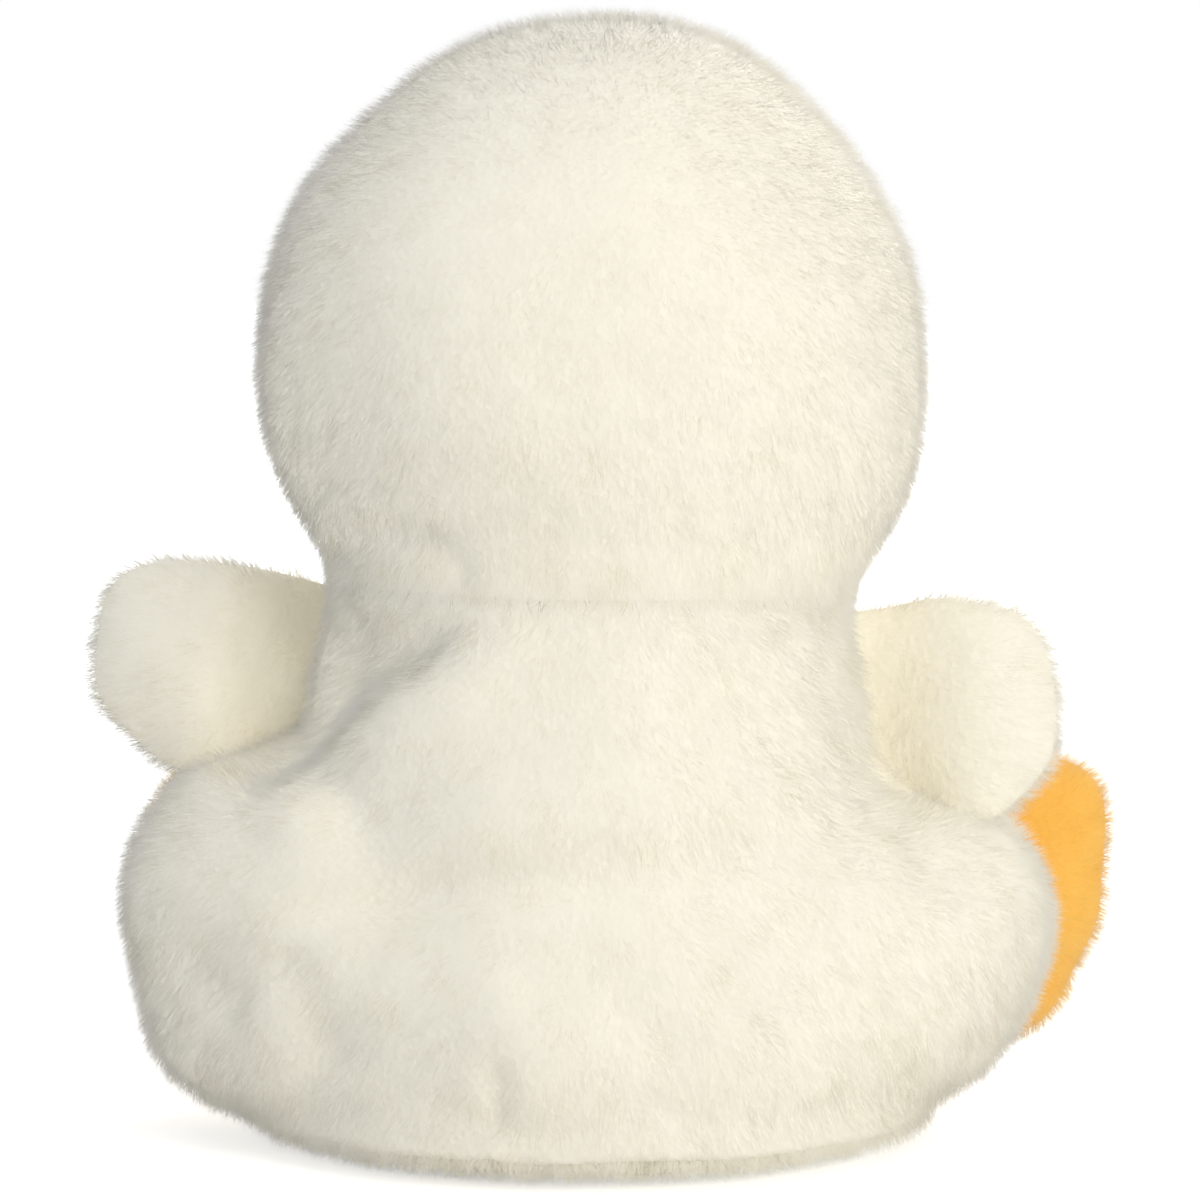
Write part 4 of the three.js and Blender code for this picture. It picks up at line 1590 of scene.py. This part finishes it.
@dataclass
class Eye:
    """A button eye: a polished dome whose rim sinks into the pile. Millimetres and degrees."""

    side: Side
    azimuth: float = 34.0
    elevation: float = 10.0
    radius: float = 4.0
    dome: float = 3.2
    head_radius: float = 36.4
    head_centre: Point = (0.0, 0.0, 85.0)
    depth_ratio: float = 0.97
    back: tuple[Pair, ...] = ((0.0, -6.0), (1.4, -6.0), (1.4, -1.2), (3.2, -1.0), (3.9, -0.5))
    rows: int = 12
    columns: int = 40

    def build(self) -> bpy.types.Object:
        """Makes the dome: an ellipse turned about the eye's axis, with a short shank behind.

        Returns:
            The eye.
        """
        a, e = np.radians(self.azimuth), np.radians(self.elevation)
        out = np.array([self.side.value * np.sin(a) * np.cos(e), -np.cos(a) * np.cos(e), np.sin(e)])
        far = self.head_radius / np.linalg.norm(out / (1, self.depth_ratio, 1))
        place = np.asarray(self.head_centre) + out * far
        side = unit(np.cross([0.0, 0.0, 1.0], out))
        up = np.cross(out, side)
        t = np.linspace(0, np.pi / 2, self.rows)
        dome = np.stack([self.radius * np.cos(t), 0.2 + self.dome * np.sin(t)], 1)
        line = np.vstack([self.back, dome])
        angle = around(self.columns)
        ring = np.cos(angle)[:, None] * side + np.sin(angle)[:, None] * up
        rings = place + line[:, :1, None] * ring[None] + line[:, 1:, None] * out
        return closed_surface(f"{self.side.label}_eye_dome", rings)

    def dress(self, eye: bpy.types.Object) -> None:
        """Polishes the eye."""
        EYE_GLOSS.put_on(eye)
        settle("head", [eye], (f"{self.side.label}_eye",))


@dataclass
class Inside:
    """What the skins hold: pellets in their pouch, washers behind the eyes and the threads in the seams."""

    nodes: dict[str, bpy.types.Object]

    def dress(self) -> None:
        """Finishes the carried-over nodes."""
        POUCH_CLOTH.put_on(self.nodes["bean_pouch"])
        PELLET_PLASTIC.put_on(self.nodes["bean_pellets"])
        for side in Side:
            WASHER_NYLON.put_on(self.nodes[f"{side.label}_eye_washer"])
            SEAM_THREAD.put_on(self.nodes[f"{side.label}_wing_seam"], self.nodes[f"{side.label}_leg_seam"])
        SEAM_THREAD.put_on(self.nodes["neck_seam"])


@dataclass(frozen=True)
class Softbox:
    """A square soft lamp that looks at the goose. Metres and watts."""

    name: str
    place: Point
    size: float
    watts: float
    tint: str
    mirrored: bool = False
    target: Point = (0.0, 0.0, 0.06)

    def hang(self) -> None:
        """Hangs the lamp. Polished pieces show it only where it is mirrored."""
        data = bpy.data.lights.new(self.name, "AREA")
        data.color = linear(self.tint)[:3]
        data.size, data.energy = self.size, self.watts
        data.cycles.use_multiple_importance_sampling = self.mirrored
        made = bpy.data.objects.new(self.name, data)
        made.location = self.place
        made.rotation_euler = (Vector(self.target) - Vector(self.place)).to_track_quat("-Z", "Y").to_euler()
        made.visible_camera = False
        bpy.context.scene.collection.objects.link(made)


@dataclass
class Studio:
    """A pale sweep, soft lamps and the camera. Metres and watts."""

    floor_half: float = 4.0
    ambient: float = 0.33
    lamps: tuple[Softbox, ...] = (
        Softbox("key_softbox", (-1.05, 1.1, 0.64), 0.8, 13.8, "fffefb"),
        Softbox("left_softbox", (1.6, 0.7, 0.7), 1.8, 9.8, "e6eeff"),
        Softbox("front_softbox", (-0.5, -1.6, 0.9), 0.6, 17.0, "ffffff", mirrored=True),
        Softbox("top_softbox", (0.0, 0.0, 1.7), 2.0, 8.0, "ffffff"),
    )
    sweep: PaperSweep = PaperSweep("pale_paper_sweep", "f4f3f0", "eeedea", 0.5, 0.95)

    def room(self) -> bpy.types.World:
        """Makes the room: soft light from all round, and plain white where the camera or a gloss sees it.

        Returns:
            The world.
        """
        world = bpy.data.worlds.new("white_room")
        world.use_nodes = True
        tree = world.node_tree
        tree.nodes.clear()
        path = add_node(tree, "ShaderNodeLightPath")
        either = {0: path.outputs["Is Camera Ray"], 1: path.outputs["Is Glossy Ray"]}
        plain = add_node(tree, "ShaderNodeMath", either, operation="MAXIMUM")
        room = add_node(tree, "ShaderNodeBackground", {"Color": linear("f8faff"), "Strength": self.ambient})
        white = add_node(tree, "ShaderNodeBackground", {"Color": (1, 1, 1, 1), "Strength": 1.0})
        mixed = {0: plain.outputs[0], 1: room.outputs[0], 2: white.outputs[0]}
        shown = add_node(tree, "ShaderNodeMixShader", mixed)
        add_node(tree, "ShaderNodeOutputWorld", {"Surface": shown.outputs[0]})
        return world

    def build(self) -> None:
        """Lays the sweep, hangs the lamps, lights the world and sets the camera."""
        h = self.floor_half / MM
        corners = np.array([[-h, -h, 0.0], [h, -h, 0.0], [h, h, 0.0], [-h, h, 0.0]])
        floor = write_mesh("paper_sweep", corners, [np.array([[0, 1, 2, 3]])])
        self.sweep.put_on(floor)
        for lamp in self.lamps:
            lamp.hang()
        bpy.context.scene.world = self.room()
        bpy.context.scene.view_settings.view_transform = "Standard"
        VIEW.camera()


@dataclass
class Goose:
    """The whole goose: its body, its head with the bill and eyes, and its limbs in pairs."""

    body: Body = field(default_factory=Body)
    head: Head = field(default_factory=Head)
    bill: Bill = field(default_factory=Bill)
    wings: tuple[Wing, Wing] = (
        Wing(Side.LEFT, 10.0, 7.0, 28.3, 12.0, 0.0, tuck=5.4),
        Wing(Side.RIGHT, 0.0, 6.0, 23.4, 12.2, 1.6),
    )
    legs: tuple[Leg, Leg] = (
        Leg(Side.LEFT, 25.0, foot_half_width=13.4, foot_roll=-4.0),
        Leg(Side.RIGHT, 33.0, 5.4, 14.4, 18.6, 16.0, foot_fan=0.02, foot_power=2.5),
    )

    def make(self) -> None:
        """Builds and dresses the sub-assemblies in order."""
        self.body.dress(self.body.build())
        self.head.dress(self.head.build())
        self.bill.dress(self.bill.build())
        for wing, leg in zip(self.wings, self.legs):
            eye = Eye(wing.side)
            wing.dress(wing.build())
            leg.dress(*leg.build())
            eye.dress(eye.build())
        Inside(frame["nodes"]).dress()


def main() -> None:
    """Makes the studio and the goose."""
    logging.basicConfig(level=logging.INFO, format="%(name)s: %(message)s")
    Studio().build()
    Goose().make()


if __name__ == "__main__":
    main()
